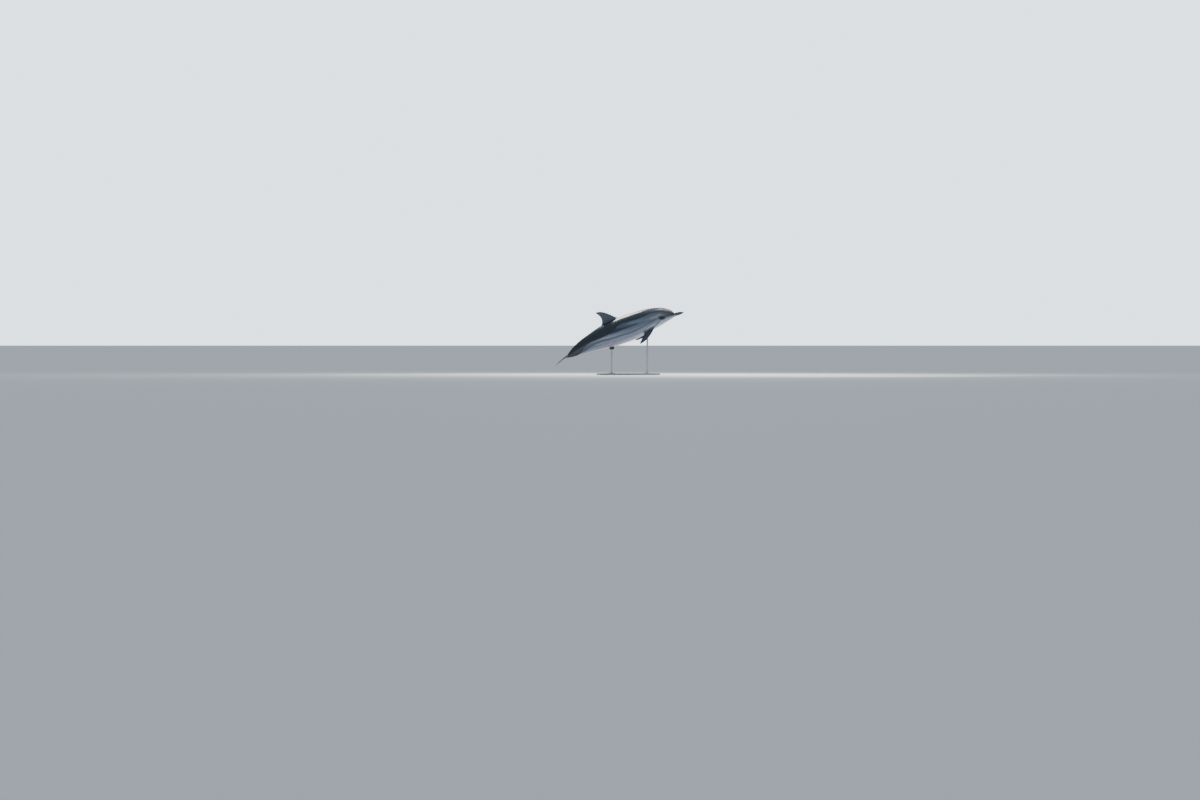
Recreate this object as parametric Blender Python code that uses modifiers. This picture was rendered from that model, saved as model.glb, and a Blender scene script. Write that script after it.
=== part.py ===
"""Striped dolphin (Stenella coeruleoalba), a still life-size model in a leap, on a display stand.

The body is first described straight: a distance along it from the tip of the beak to the notch
of the flukes, and a closed cross-section at each place. It is then bent in its plane of symmetry
by the pitch of the spine. +X is forward, +Z is up, and the origin is the centre of the underside
of the stand's base plate. Metres.
"""
import bisect
import math

import bmesh
import bpy
import numpy as np
from mathutils import Matrix

# ---------------------------------------------------------------- driving dimensions
LENGTH = 2.06            # tip of the beak to the notch of the flukes, along the spine
GAP = 0.0003             # clearance between solids that meet
SEGMENTS = 32            # corners of one cross-section of the body
ROUND_SIDES = 24         # sides of the stand's round pieces

BEAK_TIP_X = 0.842       # the tip of the beak, ahead of the stand's centre
BEAK_TIP_Z = 0.938       # and above the floor

CREASE = 0.146           # where the beak meets the melon, from the tip
GAPE = 0.300             # corner of the mouth
NECK = 0.420             # head to chest
SHOULDER = 0.800         # chest to trunk
LOIN = 1.270             # trunk to loin
STOCK = 1.600            # loin to tail stock
STOCK_END = 1.930        # the tail stock ends between the flukes
CUTS = (CREASE, NECK, SHOULDER, LOIN, STOCK, STOCK_END)

EYE_ALONG = 0.360
EYE_HEIGHT = -0.008      # over the spine
EYE_RADIUS = 0.0145
EYE_PROUD = 0.0020       # how far the eyeball stands out of the skin

TAIL_TWIST = -6.7        # degrees, the flukes' roll about the spine
TWIST_FROM = 1.30
TWIST_TO = 1.90

BASE_LENGTH = 0.90
BASE_WIDTH = 0.42
BASE_HEIGHT = 0.025
ROD_DIAMETER = 0.026
PAD_DIAMETER = 0.080
FOOT_DIAMETER = 0.100
FOOT_HEIGHT = 0.016      # with the collar under the rod
FOOT_EDGE = 0.007        # thickness of the flange
FOOT_STEP = 0.006        # width of the collar's shoulder
ROD_PLACES = {"front": 0.290, "rear": -0.250}   # x of each rod
PAD_SINK = 0.034         # thickness of a pad under the belly, at the rod
PAD_RISE = 0.050         # how far the pad's blank reaches up, before the belly is cut out of it

# pitch of the spine in degrees, nose up, at distances from the tip of the beak
PITCH = ((0.00, 13.5), (0.35, 12.5), (0.70, 19.0), (1.20, 20.0), (1.60, 28.0), (1.85, 35.0),
         (2.02, 39.0), (2.16, 48.0))

# distance from the tip, back above the spine, belly below it, half of the width
STATIONS = (
    (0.000, 0.0040, 0.0040, 0.0060),     # tip of the beak
    (0.008, 0.0135, 0.0085, 0.0125),
    (0.025, 0.0205, 0.0140, 0.0175),
    (0.060, 0.0262, 0.0210, 0.0225),
    (0.110, 0.0290, 0.0275, 0.0300),
    (0.144, 0.0292, 0.0330, 0.0385),     # crease before the melon
    (0.160, 0.0560, 0.0370, 0.0500),
    (0.180, 0.0780, 0.0440, 0.0640),
    (0.210, 0.1010, 0.0550, 0.0800),     # melon
    (0.250, 0.1235, 0.0690, 0.0960),
    (0.300, 0.1445, 0.0850, 0.1100),
    (0.360, 0.1595, 0.1060, 0.1220),     # eyes
    (0.450, 0.1725, 0.1320, 0.1400),
    (0.560, 0.1830, 0.1560, 0.1600),     # flippers
    (0.700, 0.1905, 0.1820, 0.1770),
    (0.870, 0.1945, 0.2030, 0.1860),     # deepest place
    (1.050, 0.1870, 0.2010, 0.1830),
    (1.200, 0.1740, 0.1920, 0.1680),
    (1.320, 0.1540, 0.1740, 0.1460),     # vent
    (1.450, 0.1230, 0.1490, 0.1130),
    (1.600, 0.0960, 0.1190, 0.0740),
    (1.720, 0.0680, 0.0930, 0.0460),
    (1.800, 0.0440, 0.0710, 0.0310),     # tail stock
    (1.860, 0.0230, 0.0500, 0.0250),
    (1.900, 0.0140, 0.0290, 0.0225),
    (1.940, 0.0110, 0.0130, 0.0200),     # between the flukes
)

# how square the cross-section is: 2 is an ellipse, less is keeled above and below
SQUARENESS = ((0.0, 2.3), (0.14, 2.3), (0.30, 2.1), (0.90, 2.1), (1.40, 1.9), (1.75, 1.6),
              (1.95, 1.7))

# edges of the fins: four Bezier points each, root to tip, as (back, out)
DORSAL_START = 0.975     # the fin's root on the back, from the tip of the beak
DORSAL_END = 1.235
DORSAL_LEADING = ((-0.030, -0.035), (0.075, 0.075), (0.165, 0.222), (0.275, 0.209))
DORSAL_TRAILING = ((0.290, -0.025), (0.205, 0.050), (0.212, 0.125), (0.274, 0.198))
DORSAL_THICKNESS = 0.115                         # of the chord

FLIPPER_LEADING = ((-0.036, -0.045), (-0.064, 0.087), (-0.048, 0.210), (0.012, 0.293))
FLIPPER_TRAILING = ((0.050, -0.045), (0.052, 0.058), (0.036, 0.168), (0.024, 0.288))
FLIPPER_THICKNESS = 0.17
FLIPPER_ROOT = (0.567, 0.098, -0.125)            # along the body, to the side, over the spine
FLIPPER_OUT = {"right": 18.0, "left": 36.0}      # degrees, splay away from the body
FLIPPER_BACK = {"right": 35.6, "left": 42.5}     # degrees, sweep from straight down to the tail
FLIPPER_TURN = {"right": 18.0, "left": -10.0}    # degrees, leading edge turned outward

FLUKE_LEADING = ((1.862, 0.00015), (1.915, 0.078), (2.030, 0.185), (2.118, 0.255))
FLUKE_TRAILING = ((LENGTH, 0.00015), (2.105, 0.060), (2.048, 0.160), (2.115, 0.253))
FLUKE_THICKNESS = 0.105

# the mouth line over the spine
MOUTH = ((-0.05, 0.000), (0.00, 0.000), (0.15, 0.002), (0.25, -0.002), (0.32, -0.014))


# ---------------------------------------------------------------- curves through the dimensions
def curve_through(points):
    """A smooth function through the points that never overshoots between two of them."""
    xs = [point[0] for point in points]
    ys = [point[1] for point in points]
    slopes = [(ys[i + 1] - ys[i]) / (xs[i + 1] - xs[i]) for i in range(len(xs) - 1)]
    tangents = [slopes[0]]
    for before, after in zip(slopes, slopes[1:]):
        same_way = before * after > 0
        tangents.append(2 * before * after / (before + after) if same_way else 0.0)
    tangents.append(slopes[-1])

    def value(x):
        i = min(max(bisect.bisect_right(xs, x) - 1, 0), len(xs) - 2)
        width = xs[i + 1] - xs[i]
        t = min(max((x - xs[i]) / width, 0.0), 1.0)
        rise = ys[i] * (1 + 2 * t) * (1 - t) ** 2 + ys[i + 1] * t * t * (3 - 2 * t)
        return rise + width * (tangents[i] * t * (1 - t) ** 2 - tangents[i + 1] * t * t * (1 - t))

    return value


def bezier(a, b, c, d, t):
    """A point of the cubic Bezier curve from a to d."""
    weights = ((1 - t) ** 3, 3 * t * (1 - t) ** 2, 3 * t * t * (1 - t), t ** 3)
    return np.array(weights) @ np.array((a, b, c, d), float)


pitch_at = curve_through(PITCH)
back_at = curve_through([(row[0], row[1]) for row in STATIONS])
belly_at = curve_through([(row[0], row[2]) for row in STATIONS])
side_at = curve_through([(row[0], row[3]) for row in STATIONS])
squareness_at = curve_through(SQUARENESS)
mouth_at = curve_through(MOUTH)


# ---------------------------------------------------------------- the spine
SPINE_STEP = 0.005
SPINE_COUNT = 440


def walk_spine():
    """Places along the spine, by steps of SPINE_STEP from the tip of the beak."""
    places = [np.array((BEAK_TIP_X, 0.0, BEAK_TIP_Z))]
    for i in range(SPINE_COUNT):
        angle = math.radians(pitch_at((i + 0.5) * SPINE_STEP))
        step = np.array((-math.cos(angle), 0.0, -math.sin(angle))) * SPINE_STEP
        places.append(places[-1] + step)
    return np.array(places)


SPINE = walk_spine()


def bend(along, side, height):
    """The place in the leap of a point of the straight body."""
    turn = math.radians(TAIL_TWIST) * min(max((along - TWIST_FROM) / (TWIST_TO - TWIST_FROM), 0), 1)
    side_now = side * math.cos(turn) - height * math.sin(turn)
    height_now = side * math.sin(turn) + height * math.cos(turn)
    angle = math.radians(pitch_at(along))
    steps = np.arange(len(SPINE)) * SPINE_STEP
    x = np.interp(along, steps, SPINE[:, 0])
    z = np.interp(along, steps, SPINE[:, 2])
    if along < 0:
        x -= along * math.cos(angle)
        z -= along * math.sin(angle)
    return (x - height_now * math.sin(angle), side_now, z + height_now * math.cos(angle))


# ---------------------------------------------------------------- meshes
def clear_scene():
    for thing in list(bpy.data.objects):
        bpy.data.objects.remove(thing)


def add_collection(name):
    collection = bpy.data.collections.new(name)
    bpy.context.scene.collection.children.link(collection)
    return collection


def new_object(name, mesh, collection, material=None):
    thing = bpy.data.objects.new(name, mesh)
    collection.objects.link(thing)
    if material:
        mesh.materials.append(material)
    return thing


def loft(name, rings, collection, material=None, nose=None):
    """A closed skin over rings of equal counts, with flat caps or with a point at its front."""
    bm = bmesh.new()
    rows = [[bm.verts.new(point) for point in ring] for ring in rings]
    count = len(rows[0])
    for first, second in zip(rows, rows[1:]):
        for i in range(count):
            j = (i + 1) % count
            bm.faces.new((first[i], first[j], second[j]))
            bm.faces.new((first[i], second[j], second[i]))
    for row, tip in ((rows[0], nose), (rows[-1], None)):
        if tip is None:
            bm.faces.new(row)
            continue
        point = bm.verts.new(tip)
        for i in range(count):
            bm.faces.new((row[i], row[(i + 1) % count], point))
    bmesh.ops.recalc_face_normals(bm, faces=bm.faces)
    mesh = bpy.data.meshes.new(name)
    bm.to_mesh(mesh)
    bm.free()
    mesh.shade_smooth()
    mesh.set_sharp_from_angle(angle=math.radians(40))
    return new_object(name, mesh, collection, material)


def cut(thing, cutter, operation="DIFFERENCE"):
    modifier = thing.modifiers.new(cutter.name, "BOOLEAN")
    modifier.object = cutter
    modifier.operation = operation
    modifier.solver = "EXACT"
    cutter.hide_render = True
    cutter.display_type = "WIRE"


def material(name, colour, roughness, metallic=0.0):
    made = bpy.data.materials.new(name)
    made.use_nodes = True
    shader = made.node_tree.nodes["Principled BSDF"]
    shader.inputs["Base Color"].default_value = (*colour, 1.0)
    shader.inputs["Roughness"].default_value = roughness
    shader.inputs["Metallic"].default_value = metallic
    return made


# ---------------------------------------------------------------- the body
def section(along, grow=0.0):
    """The closed cross-section at one place, as (side, height) pairs from the right side up."""
    power = 2.0 / squareness_at(along)
    points = []
    for i in range(SEGMENTS):
        angle = 2 * math.pi * i / SEGMENTS
        across = math.cos(angle)
        up = math.sin(angle)
        reach = back_at(along) if up > 0 else belly_at(along)
        side = (side_at(along) + grow) * math.copysign(abs(across) ** power, across)
        height = (reach + grow) * math.copysign(abs(up) ** power, up)
        points.append((side, height))
    return points


def places_between(start, end):
    """Places for cross-sections, close together where the shape changes quickly."""
    places = [start]
    while True:
        here = places[-1]
        if here < CREASE - 0.01:
            step = 0.006 + 0.12 * here
        elif here < GAPE:
            step = 0.015
        elif here < 1.5:
            step = 0.045
        else:
            step = 0.030
        if here + 1.5 * step > end:
            break
        places.append(here + step)
    return places + [end]


def body_piece(name, start, end, collection, colour=None):
    rings = [[bend(s, y, z) for y, z in section(s)] for s in places_between(start, end)]
    nose = bend(-0.003, 0.0, 0.0) if start == 0 else None
    return loft(name, rings, collection, colour, nose)


def body_cutter(collection):
    """The body behind the head, GAP larger than its pieces and with the same corners."""
    places = [s for start, end in zip(CUTS, CUTS[1:]) for s in places_between(start, end)[:-1]]
    places.append(STOCK_END + GAP)
    rings = [[bend(s, y, z) for y, z in section(s, GAP)] for s in places]
    return loft("body_cutter", rings, collection)


def jaw_wedge(name, start, end, lift, collection):
    """A block below the mouth line, from one place along the body to another."""
    reach = 0.16
    top = [(s, mouth_at(s) + lift) for s in np.linspace(start, end, 12)]
    bottom = [(end, -reach), (start, -reach)]
    outline = top + bottom
    rings = [[bend(s, side, h) for s, h in outline] for side in (-reach, reach)]
    return loft(name, rings, collection)


def side_of_body(along, height):
    """Half of the body's width at a height over the spine."""
    reach = back_at(along) if height > 0 else belly_at(along)
    power = squareness_at(along)
    return side_at(along) * (1 - min(abs(height) / reach, 1.0) ** power) ** (1 / power)


# ---------------------------------------------------------------- fins
def blade(name, leading, trailing, thickness, place, collection, colour=None, rows=12):
    """A fin between two Bezier edges, with a foil's section from one to the other.

    leading and trailing hold four control points each, from the root to the tip, as (back, out)
    pairs; place(back, out, lift) gives the point in space.
    """
    half = 9
    rings = []
    for row in range(rows + 1):
        t = 1 - (1 - row / rows * 0.985) ** 1.35
        front = bezier(*leading, t)
        rear = bezier(*trailing, t)
        chord = float(np.hypot(*(rear - front)))
        thick = max(thickness * chord, 0.0016)
        upper = []
        lower = []
        for k in range(half + 1):
            u = 0.5 - 0.5 * math.cos(math.pi * k / half)
            foil = 2.6 * math.sqrt(u) * (1 - u) ** 1.15 * 0.5 * thick + 0.0005 * (1 if u > 0.5 else 0)
            spot = front + (rear - front) * u
            upper.append(place(spot[0], spot[1], foil))
            if k > 0:
                lower.append(place(spot[0], spot[1], -foil))
        rings.append(upper + lower[::-1])
    return loft(name, rings, collection, colour)


def dorsal_fin(collection, colour):
    """The dorsal fin, flat in the plane of symmetry, on the chord of the back under it."""
    start = np.array(bend(DORSAL_START, 0.0, back_at(DORSAL_START)))
    end = np.array(bend(DORSAL_END, 0.0, back_at(DORSAL_END)))
    way = (end - start) / np.linalg.norm(end - start)
    up = np.array((way[2], 0.0, -way[0]))

    def place(back, out, lift):
        spot = start + way * back + up * out
        return (spot[0], lift, spot[2])

    return blade("dorsal_fin", DORSAL_LEADING, DORSAL_TRAILING, DORSAL_THICKNESS, place,
                 collection, colour)


def flipper_frame(hand):
    """The root of a flipper and its three directions: back along the chord, out and through."""
    sign = 1 if hand == "left" else -1
    back = math.radians(FLIPPER_BACK[hand])
    splay = math.radians(FLIPPER_OUT[hand])
    along, side, height = FLIPPER_ROOT
    root = np.array(bend(along, sign * side, height))
    out = np.array((-math.sin(back) * math.cos(splay), sign * math.sin(splay),
                    -math.cos(back) * math.cos(splay)))
    turn = math.radians(FLIPPER_TURN[hand])
    forward = np.array((math.cos(turn), sign * math.sin(turn), 0.0))
    forward = forward - out * float(forward @ out)
    forward = forward / np.linalg.norm(forward)
    return root, -forward, out, np.cross(forward, out)


def flipper(hand, collection, colour):
    root, back_way, out_way, through = flipper_frame(hand)

    def place(back, out, lift):
        return tuple(root + back_way * back + out_way * out + through * lift)

    return blade(f"flipper_{hand}", FLIPPER_LEADING, FLIPPER_TRAILING, FLIPPER_THICKNESS, place,
                 collection, colour)


def fluke(hand, collection, colour):
    sign = 1 if hand == "left" else -1

    def place(back, out, lift):
        return bend(back, sign * out, lift)

    return blade(f"fluke_{hand}", FLUKE_LEADING, FLUKE_TRAILING, FLUKE_THICKNESS, place,
                 collection, colour, rows=13)


# ---------------------------------------------------------------- eyes and stand
def eye(hand, radius, collection, colour=None, name=None):
    sign = 1 if hand == "left" else -1
    side = side_of_body(EYE_ALONG, EYE_HEIGHT) + EYE_PROUD - EYE_RADIUS
    mesh = bpy.data.meshes.new(name or f"eye_{hand}")
    bm = bmesh.new()
    bmesh.ops.create_uvsphere(bm, u_segments=16, v_segments=8, radius=radius)
    bm.to_mesh(mesh)
    bm.free()
    mesh.shade_smooth()
    thing = new_object(name or f"eye_{hand}", mesh, collection, colour)
    thing.location = bend(EYE_ALONG, sign * side, EYE_HEIGHT)
    thing.rotation_euler = (-sign * math.radians(90), 0.0, 0.0)
    return thing


def turned(name, profile, x, collection, colour):
    """A solid of revolution about an upright axis, from (radius, height) pairs, top to bottom."""
    mesh = bpy.data.meshes.new(name)
    bm = bmesh.new()
    points = [bm.verts.new((radius, 0.0, height)) for radius, height in profile]
    for a, b in zip(points, points[1:]):
        bm.edges.new((a, b))
    bm.to_mesh(mesh)
    bm.free()
    thing = new_object(name, mesh, collection, colour)
    thing.location.x = x
    screw = thing.modifiers.new("turn", "SCREW")
    screw.axis = "Z"
    screw.steps = ROUND_SIDES
    screw.render_steps = ROUND_SIDES
    screw.use_merge_vertices = True
    screw.merge_threshold = 0.0001
    screw.use_smooth_shade = True
    return thing


def belly_height(x):
    """Height of the belly over a place on the base, in the plane of symmetry."""
    nearest = min(np.linspace(0.5, 1.5, 401), key=lambda s: abs(bend(s, 0.0, -belly_at(s))[0] - x))
    return bend(nearest, 0.0, -belly_at(nearest))[2]


def stand_foot(place, collection, colour):
    """A turned flange on the base plate, with a low collar under the rod."""
    bottom = BASE_HEIGHT + GAP
    top = bottom + FOOT_HEIGHT
    collar = ROD_DIAMETER / 2 + FOOT_STEP
    edge = FOOT_DIAMETER / 2
    profile = ((0.0, top), (collar, top), (collar + FOOT_STEP, bottom + FOOT_EDGE + FOOT_STEP / 4),
               (edge - FOOT_STEP / 4, bottom + FOOT_EDGE), (edge, bottom + FOOT_EDGE * 0.7),
               (edge, bottom), (0.0, bottom))
    return turned(f"stand_foot_{place}", profile, ROD_PLACES[place], collection, colour)


def stand_rod(place, collection, colour):
    """A round rod from its foot to the pad under the belly."""
    x = ROD_PLACES[place]
    top = belly_height(x) - PAD_SINK - GAP
    bottom = BASE_HEIGHT + GAP + FOOT_HEIGHT + GAP
    radius = ROD_DIAMETER / 2
    profile = ((0.0, top), (radius, top), (radius, bottom), (0.0, bottom))
    return turned(f"stand_rod_{place}", profile, x, collection, colour)


def stand_pad(place, collection, colour, body):
    """A round pad on top of a rod, hollowed to the belly that it carries."""
    x = ROD_PLACES[place]
    bottom = belly_height(x) - PAD_SINK
    radius = PAD_DIAMETER / 2
    profile = ((0.0, bottom + PAD_RISE), (radius, bottom + PAD_RISE), (radius, bottom + 0.014),
               (radius * 0.5, bottom), (0.0, bottom))
    pad = turned(f"stand_pad_{place}", profile, x, collection, colour)
    cut(pad, body)
    return pad


def stand_base(collection, colour):
    bpy.ops.mesh.primitive_cube_add(size=1.0, location=(0.0, 0.0, BASE_HEIGHT / 2))
    base = bpy.context.active_object
    base.name = "stand_base"
    base.data.name = "stand_base"
    base.data.transform(Matrix.Diagonal((BASE_LENGTH, BASE_WIDTH, BASE_HEIGHT, 1.0)))
    base.data.materials.append(colour)
    for owner in list(base.users_collection):
        owner.objects.unlink(base)
    collection.objects.link(base)
    bevel = base.modifiers.new("edges", "BEVEL")
    bevel.width = 0.003
    bevel.segments = 2
    return base


# ---------------------------------------------------------------- the whole model
def build():
    clear_scene()
    model = add_collection("striped_dolphin")
    cutters = add_collection("cutters")

    dark = (0.030, 0.042, 0.060)
    grey = (0.150, 0.180, 0.220)
    pale = (0.480, 0.470, 0.490)
    body = body_cutter(cutters)

    # the head's four pieces: the beak over the mouth line, the jaw below it, melon and brow
    wedge = jaw_wedge("jaw_cutter", -0.02, GAPE, -GAP / 2, cutters)
    clear = jaw_wedge("mouth_cutter", -0.02, GAPE + GAP, GAP / 2, cutters)
    beak = body_piece("beak_upper", 0, CREASE - GAP, model, material("beak", dark, 0.3))
    cut(beak, clear)
    jaw = body_piece("lower_jaw", 0, NECK - GAP, model, material("jaw", pale, 0.3))
    cut(jaw, wedge, "INTERSECT")
    head = body_piece("head", CREASE, NECK - GAP, model, material("head", grey, 0.3))
    cut(head, clear)

    # the rest of the body, and the tail stock between the flukes
    pieces = (("chest", NECK, SHOULDER, grey), ("trunk", SHOULDER, LOIN, grey),
              ("loin", LOIN, STOCK, grey), ("tail_stock", STOCK, STOCK_END, dark))
    for name, start, end, colour in pieces:
        last = end if end == STOCK_END else end - GAP
        body_piece(name, start, last, model, material(name, colour, 0.3))

    fin = dorsal_fin(model, material("fin", dark, 0.3))
    cut(fin, body)
    for hand in ("left", "right"):
        for made in (flipper(hand, model, material(f"flipper_{hand}", dark, 0.3)),
                     fluke(hand, model, material(f"fluke_{hand}", dark, 0.3))):
            cut(made, body)
        eye(hand, EYE_RADIUS, model, material(f"eye_{hand}", (0.012, 0.010, 0.009), 0.05))
        cut(head, eye(hand, EYE_RADIUS + GAP, cutters, name=f"socket_{hand}"))

    stand_base(model, material("stand_base", (0.22, 0.23, 0.24), 0.45))
    for place in ROD_PLACES:
        stand_foot(place, model, material(f"foot_{place}", (0.60, 0.61, 0.62), 0.30, 1.0))
        stand_rod(place, model, material(f"rod_{place}", (0.60, 0.61, 0.62), 0.28, 1.0))
        stand_pad(place, model, material(f"pad_{place}", (0.02, 0.02, 0.02), 0.7), body)


build()
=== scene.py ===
# %% [markdown]
# # A striped dolphin, life size, on a display stand
# The solid model gives the sizes, the places and the division into named parts. This scene dresses
# it: one unbroken skin instead of the divided flesh, eyes with lids, a wet finish with the species'
# stripes, and a stand of lacquer, steel and rubber. The solids are loaded first, and every later
# piece takes its place from them.

# %% Load the solid model
import bisect
import math

import bmesh
import bpy
import numpy as np
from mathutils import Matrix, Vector
from mathutils.bvhtree import BVHTree


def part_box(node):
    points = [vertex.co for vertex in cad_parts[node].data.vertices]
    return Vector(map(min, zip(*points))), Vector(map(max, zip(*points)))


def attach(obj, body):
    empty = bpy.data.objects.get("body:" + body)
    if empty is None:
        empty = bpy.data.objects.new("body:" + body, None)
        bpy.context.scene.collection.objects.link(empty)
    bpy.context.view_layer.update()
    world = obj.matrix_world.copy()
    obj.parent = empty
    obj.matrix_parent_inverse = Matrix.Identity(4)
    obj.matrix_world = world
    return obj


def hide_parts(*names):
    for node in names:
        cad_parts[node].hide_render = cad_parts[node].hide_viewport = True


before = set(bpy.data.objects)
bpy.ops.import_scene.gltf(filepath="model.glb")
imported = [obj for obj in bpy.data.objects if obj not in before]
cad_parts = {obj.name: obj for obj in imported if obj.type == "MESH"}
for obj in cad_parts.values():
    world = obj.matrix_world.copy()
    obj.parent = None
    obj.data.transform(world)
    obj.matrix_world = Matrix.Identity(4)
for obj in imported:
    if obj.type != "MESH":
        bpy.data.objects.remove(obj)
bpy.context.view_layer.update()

# %% [markdown]
# ## A body is a few curves
# A dolphin is almost a turned shape, so it is described straight, before the leap bends it. At each
# distance from the tip of the beak there are four sizes: the back over the spine, the belly under
# it, half of the width, and how square the cross-section is. A smooth curve joins the stations. A
# curve that never overshoots is used, because an ordinary spline would swell before the sharp
# crease between beak and melon.

# %% Curves through the stations
LENGTH = 2.06      # along the spine, from the tip of the beak to the notch of the flukes
GAPE = 0.300       # corner of the mouth
STATIONS = (
    # from the tip, back, belly, half width
    (0.000, 0.0040, 0.0040, 0.0060),
    (0.008, 0.0135, 0.0085, 0.0125),
    (0.025, 0.0205, 0.0140, 0.0175),
    (0.060, 0.0262, 0.0210, 0.0225),
    (0.110, 0.0290, 0.0275, 0.0300),
    (0.144, 0.0292, 0.0330, 0.0385),
    (0.160, 0.0560, 0.0370, 0.0500),
    (0.180, 0.0780, 0.0440, 0.0640),
    (0.210, 0.1010, 0.0550, 0.0800),
    (0.250, 0.1235, 0.0690, 0.0960),
    (0.300, 0.1445, 0.0850, 0.1100),
    (0.360, 0.1595, 0.1060, 0.1220),
    (0.450, 0.1725, 0.1320, 0.1400),
    (0.560, 0.1830, 0.1560, 0.1600),
    (0.700, 0.1905, 0.1820, 0.1770),
    (0.870, 0.1945, 0.2030, 0.1860),
    (1.050, 0.1870, 0.2010, 0.1830),
    (1.200, 0.1740, 0.1920, 0.1680),
    (1.320, 0.1540, 0.1740, 0.1460),
    (1.450, 0.1230, 0.1490, 0.1130),
    (1.600, 0.0960, 0.1190, 0.0740),
    (1.720, 0.0680, 0.0930, 0.0460),
    (1.800, 0.0440, 0.0710, 0.0310),
    (1.860, 0.0230, 0.0500, 0.0250),
    (1.900, 0.0140, 0.0290, 0.0225),
    (1.940, 0.0110, 0.0130, 0.0200),
    (2.000, 0.0075, 0.0075, 0.0160),
    (2.050, 0.0030, 0.0030, 0.0100),
)
SQUARENESS = ((0.0, 2.3), (0.14, 2.3), (0.30, 2.1), (0.90, 2.1), (1.40, 1.9), (1.75, 1.6), (1.95, 1.7))


def curve_through(points):
    """A smooth function through the points that never overshoots between two of them."""
    xs = [point[0] for point in points]
    ys = [point[1] for point in points]
    slopes = [(ys[i + 1] - ys[i]) / (xs[i + 1] - xs[i]) for i in range(len(xs) - 1)]
    tangents = [slopes[0]]
    for before, after in zip(slopes, slopes[1:]):
        same_way = before * after > 0
        tangents.append(2 * before * after / (before + after) if same_way else 0.0)
    tangents.append(slopes[-1])

    def value(x):
        i = min(max(bisect.bisect_right(xs, x) - 1, 0), len(xs) - 2)
        width = xs[i + 1] - xs[i]
        t = min(max((x - xs[i]) / width, 0.0), 1.0)
        rise = ys[i] * (1 + 2 * t) * (1 - t) ** 2 + ys[i + 1] * t * t * (3 - 2 * t)
        return rise + width * (tangents[i] * t * (1 - t) ** 2 - tangents[i + 1] * t * t * (1 - t))

    return value


back_at = curve_through([(row[0], row[1]) for row in STATIONS])
belly_at = curve_through([(row[0], row[2]) for row in STATIONS])
side_at = curve_through([(row[0], row[3]) for row in STATIONS])
squareness_at = curve_through(SQUARENESS)
print(f"deepest {back_at(0.87) + belly_at(0.87):.3f} m, widest {2 * side_at(0.87):.3f} m")

# %% [markdown]
# ## The leap bends the straight body
# The spine is walked in small steps from the tip of the beak, each step along the pitch of the
# spine at that place. A point of the straight body then keeps its distance from the spine. The tail
# also rolls a little about the spine, as a swimming tail does. Bending in code, rather than with an
# armature, keeps the girth exact and needs no weights.

# %% Walk the spine and bend a point
PITCH = (
    # from the tip of the beak, degrees by which the spine falls towards the tail
    (0.00, 13.5), (0.35, 12.5), (0.70, 19.0), (1.20, 20.0), (1.60, 28.0), (1.85, 35.0),
    (2.02, 39.0), (2.16, 48.0),
)
BEAK_TIP = (0.842, 0.938)          # ahead of the stand's middle, and over the floor
TAIL_TWIST = math.radians(-6.7)    # the flukes' roll about the spine
TWIST_FROM = 1.30
TWIST_TO = 1.90
SPINE_STEP = 0.005
pitch_at = curve_through(PITCH)


def walk_spine(count=440):
    places = [np.array((BEAK_TIP[0], 0.0, BEAK_TIP[1]))]
    for i in range(count):
        angle = math.radians(pitch_at((i + 0.5) * SPINE_STEP))
        step = np.array((-math.cos(angle), 0.0, -math.sin(angle))) * SPINE_STEP
        places.append(places[-1] + step)
    return np.array(places)


SPINE = walk_spine()
STEPS = np.arange(len(SPINE)) * SPINE_STEP


def bend(along, side, height):
    """The place in the leap of a point of the straight body."""
    turn = TAIL_TWIST * min(max((along - TWIST_FROM) / (TWIST_TO - TWIST_FROM), 0), 1)
    side_now = side * math.cos(turn) - height * math.sin(turn)
    height_now = side * math.sin(turn) + height * math.cos(turn)
    angle = math.radians(pitch_at(along))
    x = np.interp(along, STEPS, SPINE[:, 0])
    z = np.interp(along, STEPS, SPINE[:, 2])
    return np.array((x - height_now * math.sin(angle), side_now, z + height_now * math.cos(angle)))


print("beak tip", bend(0, 0, 0).round(3), "notch of the flukes", bend(LENGTH, 0, 0).round(3))

# %% [markdown]
# ## A cage of rings
# The skin is one mesh, so that no seam shows between head, trunk and fins. It is a coarse cage of
# four-sided faces that a Subdivision Surface rounds later. Rings run round the body and columns run
# along it. The rings stand close where the shape is fine: at the beak, at the eye and where a fin
# grows. One column on each side is drawn along the mouth line, with a close neighbour above and
# below, so that the lips can be a real groove.

# %% Places of the rings and columns
COLUMNS = 44
QUARTER = COLUMNS // 4
EYE_PATCH = (0.338, 0.382)         # where each piece grows out of the rings
FLIPPER_PATCH = (0.497, 0.677)
DORSAL_PATCH = (0.965, 1.245)
FLUKE_PATCH = (1.868, 2.036)
SPANS = (
    # from, to, how many steps
    (-0.001, 0.030, 4), (0.030, 0.132, 8), (0.132, 0.160, 6), (0.160, EYE_PATCH[0], 15),
    (*EYE_PATCH, 4), (EYE_PATCH[1], FLIPPER_PATCH[0], 7), (*FLIPPER_PATCH, 10),
    (FLIPPER_PATCH[1], DORSAL_PATCH[0], 10), (*DORSAL_PATCH, 8), (DORSAL_PATCH[1], 1.700, 12),
    (1.700, FLUKE_PATCH[0], 7), (*FLUKE_PATCH, 8), (FLUKE_PATCH[1], 2.046, 1),
)
WAIST = (
    # the column of the mouth and the eye: from the tip, height over the spine
    (-0.05, 0.000), (0.00, 0.000), (0.15, 0.002), (0.25, -0.002), (0.32, -0.014),
    (0.36, -0.008), (0.50, 0.0), (2.10, 0.0),
)
LIP_WIDTH = 0.0035                         # from the mouth line to its neighbours
TAIL_WIDENS = (1.76, 1.875)                # there the first columns spread,
TAIL_COLUMN = math.radians(62)             # to this far, for the flukes to grow between them
waist_at = curve_through(WAIST)
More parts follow.
